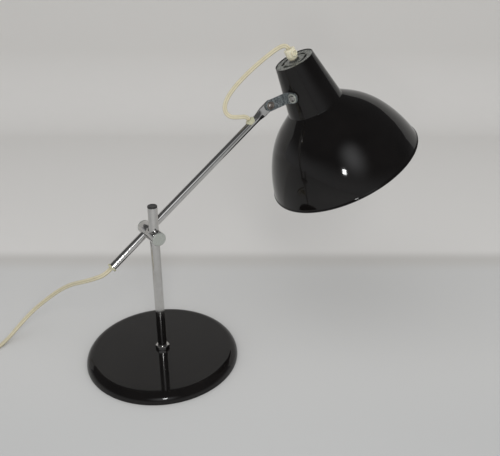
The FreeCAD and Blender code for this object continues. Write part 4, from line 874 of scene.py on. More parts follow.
@dataclass
class Studio:
    """Camera, floor, backdrop and lamps."""

    camera_place: Triple = (-0.2762, -0.6355, 0.522)
    camera_forward: Triple = (0.4924, 0.7522, -0.438)
    lens: float = 45.0
    floor_half: float = 2.4
    wall_distance: float = 1.15
    wall_bend: float = 0.2
    wall_height: float = 1.1
    table_start: float = -0.9
    # Share along the sheet and tone there; the dip at the bend is painted shade
    tones: tuple[tuple[float, Triple], ...] = (
        (0.4, (0.5, 0.5, 0.49)), (0.5, (0.56, 0.555, 0.54)), (0.61, (0.56, 0.555, 0.54)),
        (0.632, (0.52, 0.505, 0.48)), (0.65, (0.66, 0.645, 0.62)))
    aim: Triple = (0.1, 0.0, 0.15)
    key_place: Triple = (-0.6, -1.5, 1.35)
    key_size: float = 0.5
    key_power: float = 9.0
    front_place: Triple = (-0.31, -0.66, 0.44)
    front_size: float = 0.07
    front_power: float = 0.9
    world_colour: Triple = (0.93, 0.94, 0.96)
    horizon: float = 0.5
    overhead: float = 0.1
    dim_height: float = 0.35
    room_light: float = 0.85
    glow_heading: Triple = (-0.395, -0.75, 0.5)
    glow_reach: float = 30.0
    glow_fall: float = 4.0
    glow: float = 1.5

    def camera(self) -> None:
        """Sets the camera at the photograph's viewing angle."""
        data = bpy.data.cameras.new("camera")
        data.lens = self.lens
        data.sensor_width = 36.0
        data.clip_start = 0.02
        data.clip_end = 30.0
        camera = in_scene("camera", data)
        forward = Vector(self.camera_forward).normalized()
        right = forward.cross(Vector((0.0, 0.0, 1.0))).normalized()
        up = right.cross(forward)
        turn = Matrix((right, up, -forward)).transposed()
        camera.matrix_world = Matrix.Translation(self.camera_place) @ turn.to_4x4()
        bpy.context.scene.camera = camera

    def floor(self) -> None:
        """Sets a pale floor that bends up into a backdrop behind the lamp.

        The sheet runs flat, then through a quarter circle, then straight up, and
        is square to the camera's heading. Its tones follow the distance along
        the sheet: the table, a darker band of painted shade at the bend, and the paler wall.
        """
        heading = unit(np.array([self.camera_forward[0], self.camera_forward[1], 0.0]))
        across = np.array([heading[1], -heading[0], 0.0])
        turn = np.linspace(0.0, np.pi / 2, 24)
        flat = self.wall_distance - self.wall_bend
        run = np.concatenate([[-self.floor_half, self.table_start], flat + self.wall_bend * np.sin(turn),
                              [self.wall_distance]])
        rise = np.concatenate([[0.0, 0.0], self.wall_bend * (1.0 - np.cos(turn)), [self.wall_height]])
        wide = np.array([-self.floor_half, self.floor_half])
        grid = (run[:, None, None] * heading + rise[:, None, None] * np.array([0.0, 0.0, 1.0])
                + wide[None, :, None] * across)
        mesh = bpy.data.meshes.new("floor")
        mesh.from_pydata(grid.reshape(-1, 3).tolist(), [], grid_faces(len(run), 2, False, False).tolist())
        share = (run + rise + 1.0) / 2.0
        mesh.attributes.new("run", "FLOAT", "POINT").data.foreach_set("value", np.repeat(share, 2))
        mesh.shade_smooth()
        material = bpy.data.materials.new("pale_floor")
        material.use_nodes = True
        wiring = Wiring(material.node_tree)
        colour = wiring.add("ValToRGB", "Color", {
            "Fac": wiring.add("Attribute", "Fac", {}, attribute_name="run")})
        ramp = colour.node.color_ramp
        ramp.interpolation = "EASE"
        while len(ramp.elements) < len(self.tones):
            ramp.elements.new(0.5)
        for element, (place, tone) in zip(ramp.elements, self.tones):
            element.position = place
            element.color = (*tone, 1.0)
        wiring.feed(material.node_tree.nodes["Principled BSDF"], {
            "Base Color": colour, "Roughness": 0.9, "Specular IOR Level": 0.1})
        mesh.materials.append(material)
        in_scene("floor", mesh)

    def lamp(self, name: str, place: Triple, size: float, power: float) -> Piece:
        """Adds a square soft lamp that looks at the desk lamp.

        Args:
            name: Name of the lamp.
            place: Where it stands, in metres.
            size: Side of the lamp in metres.
            power: Power in watts.

        Returns:
            The new lamp.
        """
        data = bpy.data.lights.new(name, "AREA")
        data.size = size
        data.energy = power
        lamp = in_scene(name, data)
        lamp.location = place
        lamp.rotation_euler = (Vector(self.aim) - Vector(place)).to_track_quat("-Z", "Y").to_euler()
        return lamp

    def glow_level(self, wiring: Wiring, view: bpy.types.NodeSocket) -> bpy.types.NodeSocket:
        """Adds nodes for a soft glow round one heading of the room.

        Args:
            wiring: Wiring of the world.
            view: Socket with the way a ray goes.

        Returns:
            Socket with the level of the glow.
        """
        near = wiring.add("VectorMath", "Value", {0: view, 1: Vector(self.glow_heading).normalized()},
                          operation="DOT_PRODUCT")
        share = wiring.add("MapRange", "Result", {
            "From Min": math.cos(math.radians(self.glow_reach)), "Value": near})
        fall = wiring.add("Math", "Value", {0: share, 1: self.glow_fall}, operation="POWER")
        return wiring.add("Math", "Value", {0: fall, 1: self.glow}, operation="MULTIPLY")

    def light(self) -> None:
        """Sets the lamps and the world.

        Chrome and enamel see a world that dims from the horizon up, with one soft
        glow instead of the key lamp; all that is matt gets one even level.
        """
        self.lamp("key", self.key_place, self.key_size, self.key_power).visible_glossy = False
        self.lamp("front", self.front_place, self.front_size, self.front_power)
        world = bpy.data.worlds.new("studio")
        world.use_nodes = True
        wiring = Wiring(world.node_tree)
        view = wiring.add("TexCoord", "Generated", {})
        height = wiring.add("SeparateXYZ", "Z", {"Vector": view})
        fade = wiring.add("MapRange", "Result", {
            "From Max": self.dim_height, "To Min": self.horizon, "To Max": self.overhead,
            "Value": height}, interpolation_type="SMOOTHSTEP")
        room = wiring.add("Math", "Value", {0: fade, 1: self.glow_level(wiring, view)},
                          operation="ADD")
        level = wiring.add("Mix", "Result", {
            "A": room, "B": self.room_light, "Factor": wiring.add("LightPath", "Is Diffuse Ray", {})})
        wiring.feed(world.node_tree.nodes["Background"], {
            "Color": (*self.world_colour, 1.0), "Strength": level})
        bpy.context.scene.world = world
        bpy.context.scene.view_settings.view_transform = "Standard"

    def build(self) -> None:
        """Sets up all of the studio."""
        self.camera()
        self.floor()
        self.light()


# Flex: the control points of each line, in millimetres

MAINS_ROUTE: list[Triple] = [
    (-52.82, 17.0, 141.19), (-61.72, 17.0, 134.73), (-70.0, 32.5, 124.5), (-79.0, 54.0, 112.0),
    (-86.5, 80.0, 98.0), (-96.5, 105.0, 80.0), (-110.5, 127.5, 58.0), (-126.5, 146.0, 36.0),
    (-146.0, 150.5, 17.5), (-166.0, 143.5, 5.6), (-182.0, 134.5, 2.0), (-199.0, 130.5, 2.2),
    (-215.7, 131.74, 5.0), (-228.62, 140.19, 5.0),
]
LEAD_ROUTE: list[Triple] = [
    (215.85, 25.15, 377.31), (214.0, 25.8, 380.6), (208.4, 28.6, 381.6), (199.4, 31.3, 376.9),
    (186.6, 33.4, 369.0), (170.4, 35.4, 358.2), (154.2, 37.4, 345.9), (138.9, 38.5, 332.6),
    (127.6, 37.3, 320.3), (121.6, 31.9, 309.9), (124.7, 25.6, 301.9), (135.9, 19.6, 301.2),
    (146.6, 18.4, 300.98), (149.81, 17.77, 296.56),
]
SWITCH_LEAD_ROUTE: list[Triple] = [
    (-280.58, 174.21, 5.0), (-290.0, 180.37, 5.0), (-302.0, 176.8, 3.6), (-311.6, 165.7, 2.9),
    (-319.75, 151.95, 2.8), (-329.04, 137.72, 2.85),
]
PLUG_LEAD_ROUTE: list[Triple] = [
    (-270.89, 99.65, 8.4), (-263.8, 110.5, 8.3), (-252.5, 116.3, 8.0), (-242.0, 112.4, 7.6),
    (-238.0, 102.0, 7.2), (-241.8, 92.6, 7.1), (-247.81, 83.4, 7.1),
]
# In the arm's frame, from the bush to the grommet, and along the shade's axis through the grip
ARM_LEAD_ROUTE: list[Triple] = [
    (0.0, 0.0, -65.15), (0.0, 0.0, 60.0), (0.0, 0.0, 180.0), (0.0, -0.6, 186.5),
    (0.0, -3.0, 189.4), (0.0, -6.8, 190.0),
]
HOLDER_LEAD = (-15.5, 16.0)


def spline_path(name: str, route: Points, steps: int = 12) -> Points:
    """Reads the line of a smooth spline that has the route as its control points.

    Args:
        name: Name of the spline.
        route: Control points in metres.
        steps: Steps between two control points.

    Returns:
        Points along the spline in metres.
    """
    curve = bpy.data.curves.new(name, "CURVE")
    curve.dimensions = "3D"
    curve.resolution_u = steps
    spline = curve.splines.new("NURBS")
    spline.points.add(len(route) - 1)
    spline.points.foreach_set("co", np.column_stack([route, np.ones(len(route))]).ravel())
    spline.order_u = 3
    spline.use_endpoint_u = True
    holder = in_scene(name, curve)
    bpy.context.view_layer.update()
    mesh = bpy.data.meshes.new_from_object(holder)
    line = np.empty(len(mesh.vertices) * 3)
    mesh.vertices.foreach_get("co", line)
    bpy.data.objects.remove(holder)
    bpy.data.curves.remove(curve)
    bpy.data.meshes.remove(mesh)
    return line.reshape(-1, 3)


def turning(path: Points, marks: list[tuple[float, Triple]]) -> Points:
    """Directions that turn smoothly between marked ones along a path.

    Args:
        path: Points in metres.
        marks: Share of the length and direction there, in order.

    Returns:
        One direction for each point of the path.
    """
    reach = run_lengths(path)
    share = reach / reach[-1]
    where = np.array([mark[0] for mark in marks])
    ways = np.array([mark[1] for mark in marks], float)
    low = np.clip(np.searchsorted(where, share, side="right") - 1, 0, len(marks) - 2)
    part = eased((share - where[low]) / (where[low + 1] - where[low]))[:, None]
    return unit(ways[low] * (1.0 - part) + ways[low + 1] * part)


@dataclass(frozen=True)
class Line:
    """Line of a flex in metres, and the direction its flat face leans to at each point."""

    path: Points
    lean: Points

    def part(self, start: int, stop: int) -> "Line":
        """Returns the points from start up to stop."""
        return Line(self.path[start:stop], self.lean[start:stop])


def leaning(name: str, route: Points, marks: list[tuple[float, Triple]]) -> Line:
    """Makes a line whose lean turns smoothly between marked directions.

    Args:
        name: Name of the spline.
        route: Control points in metres.
        marks: Share of the length and direction there, in order.

    Returns:
        The line.
    """
    path = spline_path(name, route)
    return Line(path, turning(path, marks))


class Lay(Enum):
    """How a cord lies."""

    LOOSE = "loose"
    COILED = "coiled"


@dataclass(frozen=True)
class Span:
    """Shares of a piece's length between which it turns from its first body to its second."""

    start: float = 0.12
    end: float = 0.88


@dataclass
class Flex:
    """Flat twin flex in cream: free run, loop, coil and short leads."""

    half_width: float = 2.8
    half_height: float = 1.7
    groove_share: float = 0.26
    groove_width: float = 0.75
    section_points: int = 28
    coil_outer: float = 34.75
    coil_inner: float = 19.0
    coil_loops: float = 2.5
    coil_low: float = 2.85
    coil_high: float = 8.5
    cuts: tuple[float, ...] = (0.113, 0.227, 0.341, 0.455)
    squeeze: float = 0.92
    sleeve_ribs: int = 6
    rib_depth: float = 0.07
    sleeve_room: tuple[float, float] = (0.55, 0.75)
    switch_sleeve: tuple[float, float] = (21.0, 1.45)
    plug_sleeve: tuple[float, float] = (22.0, 1.6)
    to_camera: Triple = (-0.4924, -0.7522, 0.438)
    upward: Triple = (0.0, 0.0, 1.0)

    def section(self) -> Points:
        """Section of two moulded cores side by side, in metres.

        Width is half_width times cos t. Height is half_height times the 0.62
        power of sin t, and dips in the middle by a bell curve.
        """
        turn = around(self.section_points)
        x = self.half_width * np.cos(turn)
        y = self.half_height * np.sign(np.sin(turn)) * np.abs(np.sin(turn)) ** 0.62
        y *= 1.0 - self.groove_share * np.exp(-(x / self.groove_width) ** 2)
        return np.stack([x, y], axis=1) * MM

    def stretch(self, name: str, line: Line, node: str, bodies: list[str]) -> None:
        """Makes one piece of flex.

        Args:
            name: Name of the piece.
            line: Its line.
            node: CAD node that it stands for.
            bodies: The body it rides on, or the two that it bends between.
        """
        path, reach = line.path, run_lengths(line.path)
        piece = finished(sweep(name, path, self.section(), line.lean), "", "flex", [FLEX], node)
        if len(bodies) == 2:
            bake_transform(piece)
        else:
            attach(piece, bodies[0])

    def chain(self, name: str, line: Line, cuts: tuple[float, ...], bodies: list[str], node: str) -> None:
        """Makes a free run as consecutive pieces, one for each joint it passes.

        Args:
            name: First part of the pieces' names.
            line: The run's line.
            cuts: Shares of the length at which one piece ends and the next starts.
            bodies: Bodies from the first end to the last.
            node: CAD node that the pieces stand for.
        """
        reach = run_lengths(line.path)
        marks = [0, *[int(np.searchsorted(reach, cut * reach[-1])) for cut in cuts], len(reach) - 1]
        for number, (first, final) in enumerate(zip(marks, marks[1:])):
            self.stretch(f"{name}_{number + 1}", line.part(first, final + 1), node,
                         bodies[number:number + 2])

    def coil_route(self) -> Points:
        """Control points of the coil, twelve to a turn, in metres.

        The radius falls evenly over the lower layer, stays at its least for half
        a turn while the flex climbs, and grows evenly again over the upper one.
        """
        half_turn, step, layer = 180.0, 30.0, 360.0 * self.coil_loops
        climb_start = half_turn + layer
        climb_end = climb_start + half_turn
        angle = np.arange(half_turn, climb_end + layer + 1.0, step)
        inward = np.clip((angle - half_turn) / layer, 0.0, 1.0)
        outward = np.clip((angle - climb_end) / layer, 0.0, 1.0)
        radius = self.coil_outer - (self.coil_outer - self.coil_inner) * (inward - outward)
        radius = radius / math.cos(math.radians(step / 2))
        climb = eased((angle - climb_start) / half_turn)
        height = self.coil_low + (self.coil_high - self.coil_low) * climb
        turn = np.radians(angle)
        ring = np.stack([radius * np.cos(turn), radius * np.sin(turn), height], 1)
        enter = np.array([[-self.coil_outer, 5.0, self.coil_low]])
        leave = np.array([[self.coil_outer, 5.0, self.coil_high]])
        return COIL.place(np.concatenate([enter, ring[1:-1], leave]))

    def relief(self, name: str, line: Line, length: float, stout: float) -> Piece:
        """Makes a tapered, ribbed sleeve over the last part of a line.

        The sleeve's section is an ellipse round the flex that grows by the stout
        factor towards the housing; a cosine along it gives the ribs.

        Args:
            name: Name of the piece.
            line: The flex's line, ending at the housing.
            length: Length of the sleeve in millimetres.
            stout: Growth of the section from the thin end to the housing.

        Returns:
            The sleeve.
        """
        reach = run_lengths(line.path)
        first = int(np.searchsorted(reach, reach[-1] - length * MM))
        place = np.linspace(reach[first], reach[-1], self.sleeve_ribs * 10)
        path, lean = (np.stack([np.interp(place, reach, values[:, axis]) for axis in range(3)], 1)
                      for values in (line.path, line.lean))
        share = np.linspace(0.0, 1.0, len(place))
        growth = 1.0 + (stout - 1.0) * share
        growth *= 1.0 + self.rib_depth * np.cos(FULL_TURN * self.sleeve_ribs * share)
        growth[:3] *= np.array([0.86, 0.95, 0.99])  # a rounded thin end
        turn = around(36)
        ring = np.stack([(self.half_width + self.sleeve_room[0]) * np.cos(turn),
                         (self.half_height + self.sleeve_room[1]) * np.sin(turn)], 1) * MM
        grid = growth[:, None, None] * ring[None, :, :]
        return finished(sweep(name, path, grid, lean), "base", "cream_plastic", [CREAM_PLASTIC])

    def coil(self) -> None:
        """Winds the coil, with its flat face outwards."""
        path = spline_path("wound", self.coil_route(), 8)
        outward = unit((path - np.array(COIL.origin) * MM) * np.array([1.0, 1.0, 0.0]))
        self.stretch("coiled_flex", Line(path, outward), "cord_coil", ["base"])

    def inside(self) -> None:
        """Makes the flex inside the arm and through the cord grip."""
        line = leaning("inside", ARM.place(np.array(ARM_LEAD_ROUTE)),
                       [(0.0, self.to_camera), (0.9, self.to_camera), (1.0, ARM.z_axis)])
        slim = self.section() * self.squeeze
        finished(sweep("arm_flex", line.path, slim, line.lean), "arm", "flex", [FLEX], "arm_lead")
        drop = np.linspace(*HOLDER_LEAD, 8)
        path = SHADE.place(np.stack([0.0 * drop, 0.0 * drop, drop], 1))
        lean = np.broadcast_to(np.array(self.to_camera), path.shape)
        finished(sweep("holder_flex", path, self.section(), lean), "shade", "flex", [FLEX],
                 "holder_lead")

    def build(self, switch: list[Piece], plug: list[Piece]) -> None:
        """Makes all the flex, sleeves first.

        Args:
            switch: Pieces of the in-line switch; not used.
            plug: Pieces of the plug; not used.
        """
        front, up, side = self.to_camera, self.upward, SWITCH.x_axis
        mains = leaning("mains", np.array(MAINS_ROUTE) * MM, [
            (0.0, (-0.2, -0.4, 0.9)), (0.1, front), (0.58, front), (0.82, up), (1.0, up)])
        out = leaning("switch_out", np.array(SWITCH_LEAD_ROUTE) * MM, [
            (0.0, up), (0.35, up), (1.0, tuple(-np.array(side)))])
        tail = leaning("plug_tail", np.array(PLUG_LEAD_ROUTE) * MM, [
            (0.0, side), (0.55, up), (1.0, up)])
        loop = leaning("loop", np.array(LEAD_ROUTE) * MM, [(0.0, front), (1.0, front)])
        inlet = self.relief("switch_inlet_sleeve", mains, *self.switch_sleeve)
        outlet = self.relief("switch_outlet_sleeve", Line(out.path[::-1], out.lean[::-1]),
                             *self.switch_sleeve)
        sleeve = self.relief("plug_sleeve", tail, *self.plug_sleeve)
        self.chain("mains_flex", mains, self.cuts,
                   ["arm", "arm_carrier", "clamp_rear", "clamp_front", "clamp_slider", "base"],
                   "mains_cord")
        self.chain("loop_flex", loop, (0.5,), ["shade", "link", "arm"], "loop_lead")
        self.stretch("switch_flex", out, "switch_lead", ["base"])
        self.coil()
        self.stretch("plug_flex", tail, "plug_lead", ["base"])
        self.inside()


# Base and post

@dataclass
class Base:
    """Spun cover of the base with the nut that the post stands in."""

    radius: float = 100.0
    top: float = 12.0
    shoulder: float = 11.6
    wall: float = 1.2
    hole: float = 6.05
    nut_flats: float = 16.0
    nut_height: float = 4.8

    def cover(self) -> None:
        """Turns the cover: a flat disc whose edge rolls down through a quarter circle."""
        low = self.top - self.shoulder
        flat = self.radius - self.shoulder
        turn = np.linspace(0.0, np.pi / 2, 36)
        outer = np.stack([flat + self.shoulder * np.sin(turn), low + self.shoulder * np.cos(turn)], 1)
        inner_radius = self.shoulder - self.wall
        inner = np.stack([flat + inner_radius * np.sin(turn), low + inner_radius * np.cos(turn)], 1)
        lip = np.linspace(0.0, np.pi, 9)[1:-1]
        middle = self.radius - self.wall / 2
        hem = np.stack([middle + self.wall / 2 * np.cos(lip), low - 0.35 * np.sin(lip)], 1)
        disc = np.linspace(self.hole, flat, 24)[:-1]
        top = np.stack([disc, np.full_like(disc, self.top)], 1)
        under = np.stack([disc, np.full_like(disc, self.top - self.wall)], 1)
        profile = np.concatenate([top, outer, hem, inner[::-1], under[::-1]])
        finished(revolve("cover", profile, GROUND, 288), "base", "black_enamel", [BLACK_ENAMEL],
                 "base_cover")

    def build(self) -> None:
        """Makes the base's pieces."""
        self.cover()
        low = self.top + SEAT_GAP
        nut = hexagon_nut("post_nut", self.nut_flats, self.hole, low, low + self.nut_height,
                          GROUND.turned(2.0))
        finished(nut, "base", "chrome", [CHROME], "foot_nut")


@dataclass
class Post:
    """Chromed post with its dark plug."""

    radius: float = 6.0
    bore: float = 4.5
    foot: float = 2.2
    top: float = 217.0
    plug_depth: float = 8.0
    head: float = 2.0
    ring_radius: float = 4.4
    ring_depth: float = 0.25
    ring_slope: float = 0.3

    def build(self) -> None:
        """Turns the tube, with softened ends, and the plug with a faint ring on its head."""
        corners = [(self.bore, self.foot, 0.2), (self.radius, self.foot, 0.3),
                   (self.radius, self.top, 0.3), (self.bore, self.top, 0.2)]
        finished(lathe("post_tube", corners, GROUND, 96), "base", "chrome", [CHROME], "post")
        foot, seat, head = self.top - self.plug_depth, self.top + SEAT_GAP, self.top + self.head
        stem = self.bore - SEAT_GAP
        ring, sunk = self.ring_radius, head - self.ring_depth
        corners = [(0.0, foot, 0.0), (stem, foot, 0.3), (stem, seat, 0.0),
                   (self.radius, seat, 0.15), (self.radius, head, 0.6), (ring, head, 0.2),
                   (ring - self.ring_slope, sunk, 0.2), (0.0, sunk, 0.0)]
        plug = lathe("post_plug", corners, GROUND, 72, 5, False)
        finished(plug, "base", "dark_plastic", [DARK_PLASTIC], "post_cap")


# Friction clamp

@dataclass
class Clamp:
    """Two turned blocks that swivel on each other, one on the post and one on the arm."""

    radius: float = 8.7
    seam: float = 8.5
    front: float = 14.5
    rear: float = 30.0
    rod_distance: float = 17.0
    head: float = 2.0
    post_bore: float = 6.05
    arm_bore: float = 5.05
    elevation: float = 35.95
    seam_gap: float = 0.6
    cutter: float = 20.0
    bore_edge: float = 0.28
    bore_angle: float = 40.0
    cap_inset: float = 0.1
    # Edge of a cap's face: distance in from its side, back from its face, and rounding
    cap_edge: tuple[Triple, ...] = ((0.0, 1.2, 0.0), (0.0, 0.35, 0.3), (0.75, 0.05, 0.5),
                                    (2.2, 0.0, 0.0))

    def block(self, name: str, low: float, high: float, rod: float, bore: float,
              across: Triple) -> Piece:
        """Turns a block and bores it for its rod.

        Args:
            name: Name of the piece.
            low: Lower end along the clamp's axis.
            high: Upper end along the clamp's axis.
            rod: Height of the rod's axis.
            bore: Radius of the bore.
            across: Direction of the rod in the clamp's frame.

        Returns:
            The bored block with softened edges.
        """
        corners = [(0.0, low, 0.0), (self.radius, low, 0.55), (self.radius, high, 0.3),
                   (0.0, high, 0.0)]
        body = lathe(name, corners, BARREL, 120, 5, False)
        line = BARREL.shifted((0.0, 0.0, rod)).facing(across, (0.0, 0.0, 1.0))
        carve(body, rod_piece("bore", bore, -self.cutter, self.cutter, line, 96))
        return eased_edges(body, self.bore_edge, 2, -1, self.bore_angle)

    def cap(self, name: str, low: float, high: float) -> Piece:
        """Turns a plain end cap: a slightly domed face with a rounded edge.

        Args:
            name: Name of the piece.
            low: Height of its inner face along the clamp's axis.
            high: Height of its outer face along the clamp's axis.

        Returns:
            The turned cap.
        """
        out = math.copysign(1.0, high - low)
        corners = [(0.0, low, 0.0), (self.radius - self.cap_inset, low, 0.2),
                   *((self.radius - inward, high - out * back, edge)
                     for inward, back, edge in self.cap_edge),
                   (0.0, high, 0.0)]
        return lathe(name, corners, BARREL, 120, 6, False)

    def build(self) -> None:
        """Makes both blocks and both caps."""
        near = self.block("front_barrel", -self.seam, self.front - self.head, 0.0, self.post_bore,
                          (0.0, 1.0, 0.0))
        finished(near, "clamp_front", "chrome", [CHROME], "front_block")
        lean = math.radians(self.elevation)
        far = self.block("rear_barrel", -self.rear + self.head, -self.seam - self.seam_gap,
                         -self.rod_distance, self.arm_bore, (math.cos(lean), math.sin(lean), 0.0))
        finished(far, "clamp_rear", "chrome", [CHROME], "rear_block")
        finished(self.cap("front_end_cap", self.front - self.head + SEAT_GAP, self.front),
                 "clamp_front", "chrome", [PLATE], "front_cap")
        finished(self.cap("rear_end_cap", -self.rear + self.head - SEAT_GAP, -self.rear),
                 "clamp_rear", "chrome", [PLATE], "rear_cap")


# Arm

@dataclass
class Arm:
    """Chromed tube that is pressed flat at its upper end, with its bush and grommet."""

    radius: float = 5.0
    wall: float = 1.0
    foot: float = 62.5
    flat_start: float = 197.0
    flat_full: float = 212.0
    pivot: float = 223.5
    half_thickness: float = 1.2
    eyelet_hole: float = 3.45
    grommet_place: float = 190.0
    tip_edge: float = 0.25
    tip_blunt: float = 1.0
    bore_rows: tuple[float, float] = (192.0, 60.0)
    bush_flange: float = 6.2
    bush_head: float = 2.7
    bush_stem: float = 8.0

    def sections(self) -> tuple[Points, Points]:
        """Round and flat section with the same number of points and the same girth.

        Returns:
            Points of the circle and of the flat oval, both from the middle of the
            front face on, at equal steps along their outlines.
        """
        half_width = (self.radius - self.half_thickness) * math.pi / 2 + self.half_thickness
        core = half_width - self.half_thickness
        turn = around(96)
        bend = np.linspace(0.0, np.pi, 40)
        thick = self.half_thickness
        oval = np.concatenate([
            [[thick, 0.0]], np.stack([thick * np.cos(bend), core + thick * np.sin(bend)], 1),
            np.stack([-thick * np.cos(bend), -core - thick * np.sin(bend)], 1), [[thick, 0.0]]])
        reach = run_lengths(oval)
        at = turn / FULL_TURN * reach[-1]
        flat = np.stack([np.interp(at, reach, oval[:, 0]), np.interp(at, reach, oval[:, 1])], 1)
        return circle(turn, self.radius), flat

    def tube(self) -> None:
        """Makes the tube: its section goes from round to flat, then ends in a half circle.

        Over the flattening each point moves along an eased line from the circle to
        the oval; past the pivot the oval's width follows a circle about the pivot.
        """
        ring, flat = self.sections()
        half_width = float(flat[:, 1].max())
        tip = self.pivot + half_width
        edge, blunt_length = self.tip_edge, self.tip_blunt
        straight = np.concatenate([[-self.foot + edge],
                                   np.linspace(-self.foot + 1.0, self.flat_start, 24)])
        blend_rows = np.linspace(self.flat_start, self.flat_full, 26)[1:]
        turn = np.linspace(0.0, np.pi / 2, 26)[1:]
        end_rows = self.pivot + half_width * np.sin(turn)
        end_rows[-1] = tip - 0.004  # so that the last ring keeps a face
        height = np.concatenate([straight, blend_rows, [self.pivot - 6.0, self.pivot], end_rows])
        mix = eased((height - self.flat_start) / (self.flat_full - self.flat_start))[:, None, None]
        section = ring[None] * (1.0 - mix) + flat[None] * mix
        past = np.clip((height - self.pivot) / half_width, 0.0, 1.0)
        width = np.sqrt(np.maximum(1.0 - past ** 2, 1e-6))
        blunt = np.clip((height - (tip - blunt_length)) / blunt_length, 0.0, 1.0)
        thin = np.sqrt(np.maximum(1.0 - 0.75 * blunt ** 2, 1e-6))
        section = section * np.stack([thin, width], 1)[:, None, :]
        level = np.broadcast_to(height[:, None, None], (*section.shape[:2], 1))
        outer = np.concatenate([section, level], 2)
        bore = self.radius - self.wall
        inner_rows = [*((bore, level) for level in self.bore_rows), (bore, -self.foot + 0.2),
                      (bore + 0.2, -self.foot), (self.radius - edge, -self.foot)]
        inner = np.stack([np.column_stack([ring / self.radius * radius, np.full(96, level)])
                          for radius, level in inner_rows])
        grid = ARM.place(np.concatenate([inner, outer]))
        piece = grid_piece("arm_chrome_tube", grid, False, True, True)
        hole = rod_piece("hole", self.eyelet_hole, -4.0, 4.0, HINGE, 64)
        finished(carve(piece, hole), "arm", "chrome", [CHROME], "arm_tube")

    def bush(self) -> None:
        """Turns the bush in the tube's lower end, with a rounded flange."""
        low, high = -self.foot - self.bush_head, -self.foot + self.bush_stem
        bore, stem, flange = FLEX_BORE, self.radius - self.wall - SEAT_GAP, self.bush_flange
        seat = -self.foot - SEAT_GAP
        corners = [(bore, low, 0.5), (flange, low, 1.0), (flange, seat, 0.4), (stem, seat, 0.0),
                   (stem, high, 0.3), (bore, high, 0.2)]
        finished(lathe("foot_bush", corners, ARM, 72), "arm", "pale_bush", [PALE_BUSH], "arm_bush")

    def grommet(self) -> None:
        """Drapes the grommet's flange over the tube and raises a collar round the flex.

        The upper side falls off with the fourth power of the radius; the lower
        side lies just off the tube's own surface, so the flange hugs it.
        """
        place = ARM.shifted((0.0, 0.0, self.grommet_place)).facing((0.0, -1.0, 0.0), (1.0, 0.0, 0.0))
        turn = around(96)[None, :]
        top, flange, bore, least = self.radius + 1.8, 6.3, FLEX_BORE, 1.5
        radii = np.array([bore, bore + 0.25, 3.9, 4.15, 4.4, 5.0, 5.6, 6.0, 6.22, flange])
        rise = np.array([0.15, 0.0, 0.0, 0.12, 0.42, 0.5, 0.62, 0.85, 1.15, 1.5])
        upper = (top - rise)[:, None] + 0.0 * turn
        lower = np.sqrt(np.maximum((self.radius + SEAT_GAP) ** 2
                                   - (radii[:, None] * np.cos(turn)) ** 2, least ** 2))
        upper = np.maximum(upper - 0.55 * (self.radius - lower) * (radii[:, None] / flange) ** 4,
                           lower + 0.7)
        wide = radii[:, None] + 0.0 * turn
        rows = np.stack([np.concatenate([wide, wide[::-1]]),
                         np.concatenate([upper, lower[::-1]])], -1)
        angle = np.broadcast_to(turn, rows.shape[:2])
        grid = np.stack([rows[..., 0] * np.cos(angle), rows[..., 0] * np.sin(angle), rows[..., 1]], -1)
        piece = grid_piece("lead_grommet", place.place(grid), True, True)
        finished(piece, "arm", "pale_bush", [PALE_BUSH], "arm_grommet")

    def build(self) -> None:
        """Makes the arm's pieces."""
        self.tube()
        self.bush()
        self.grommet()


# Strap hinge

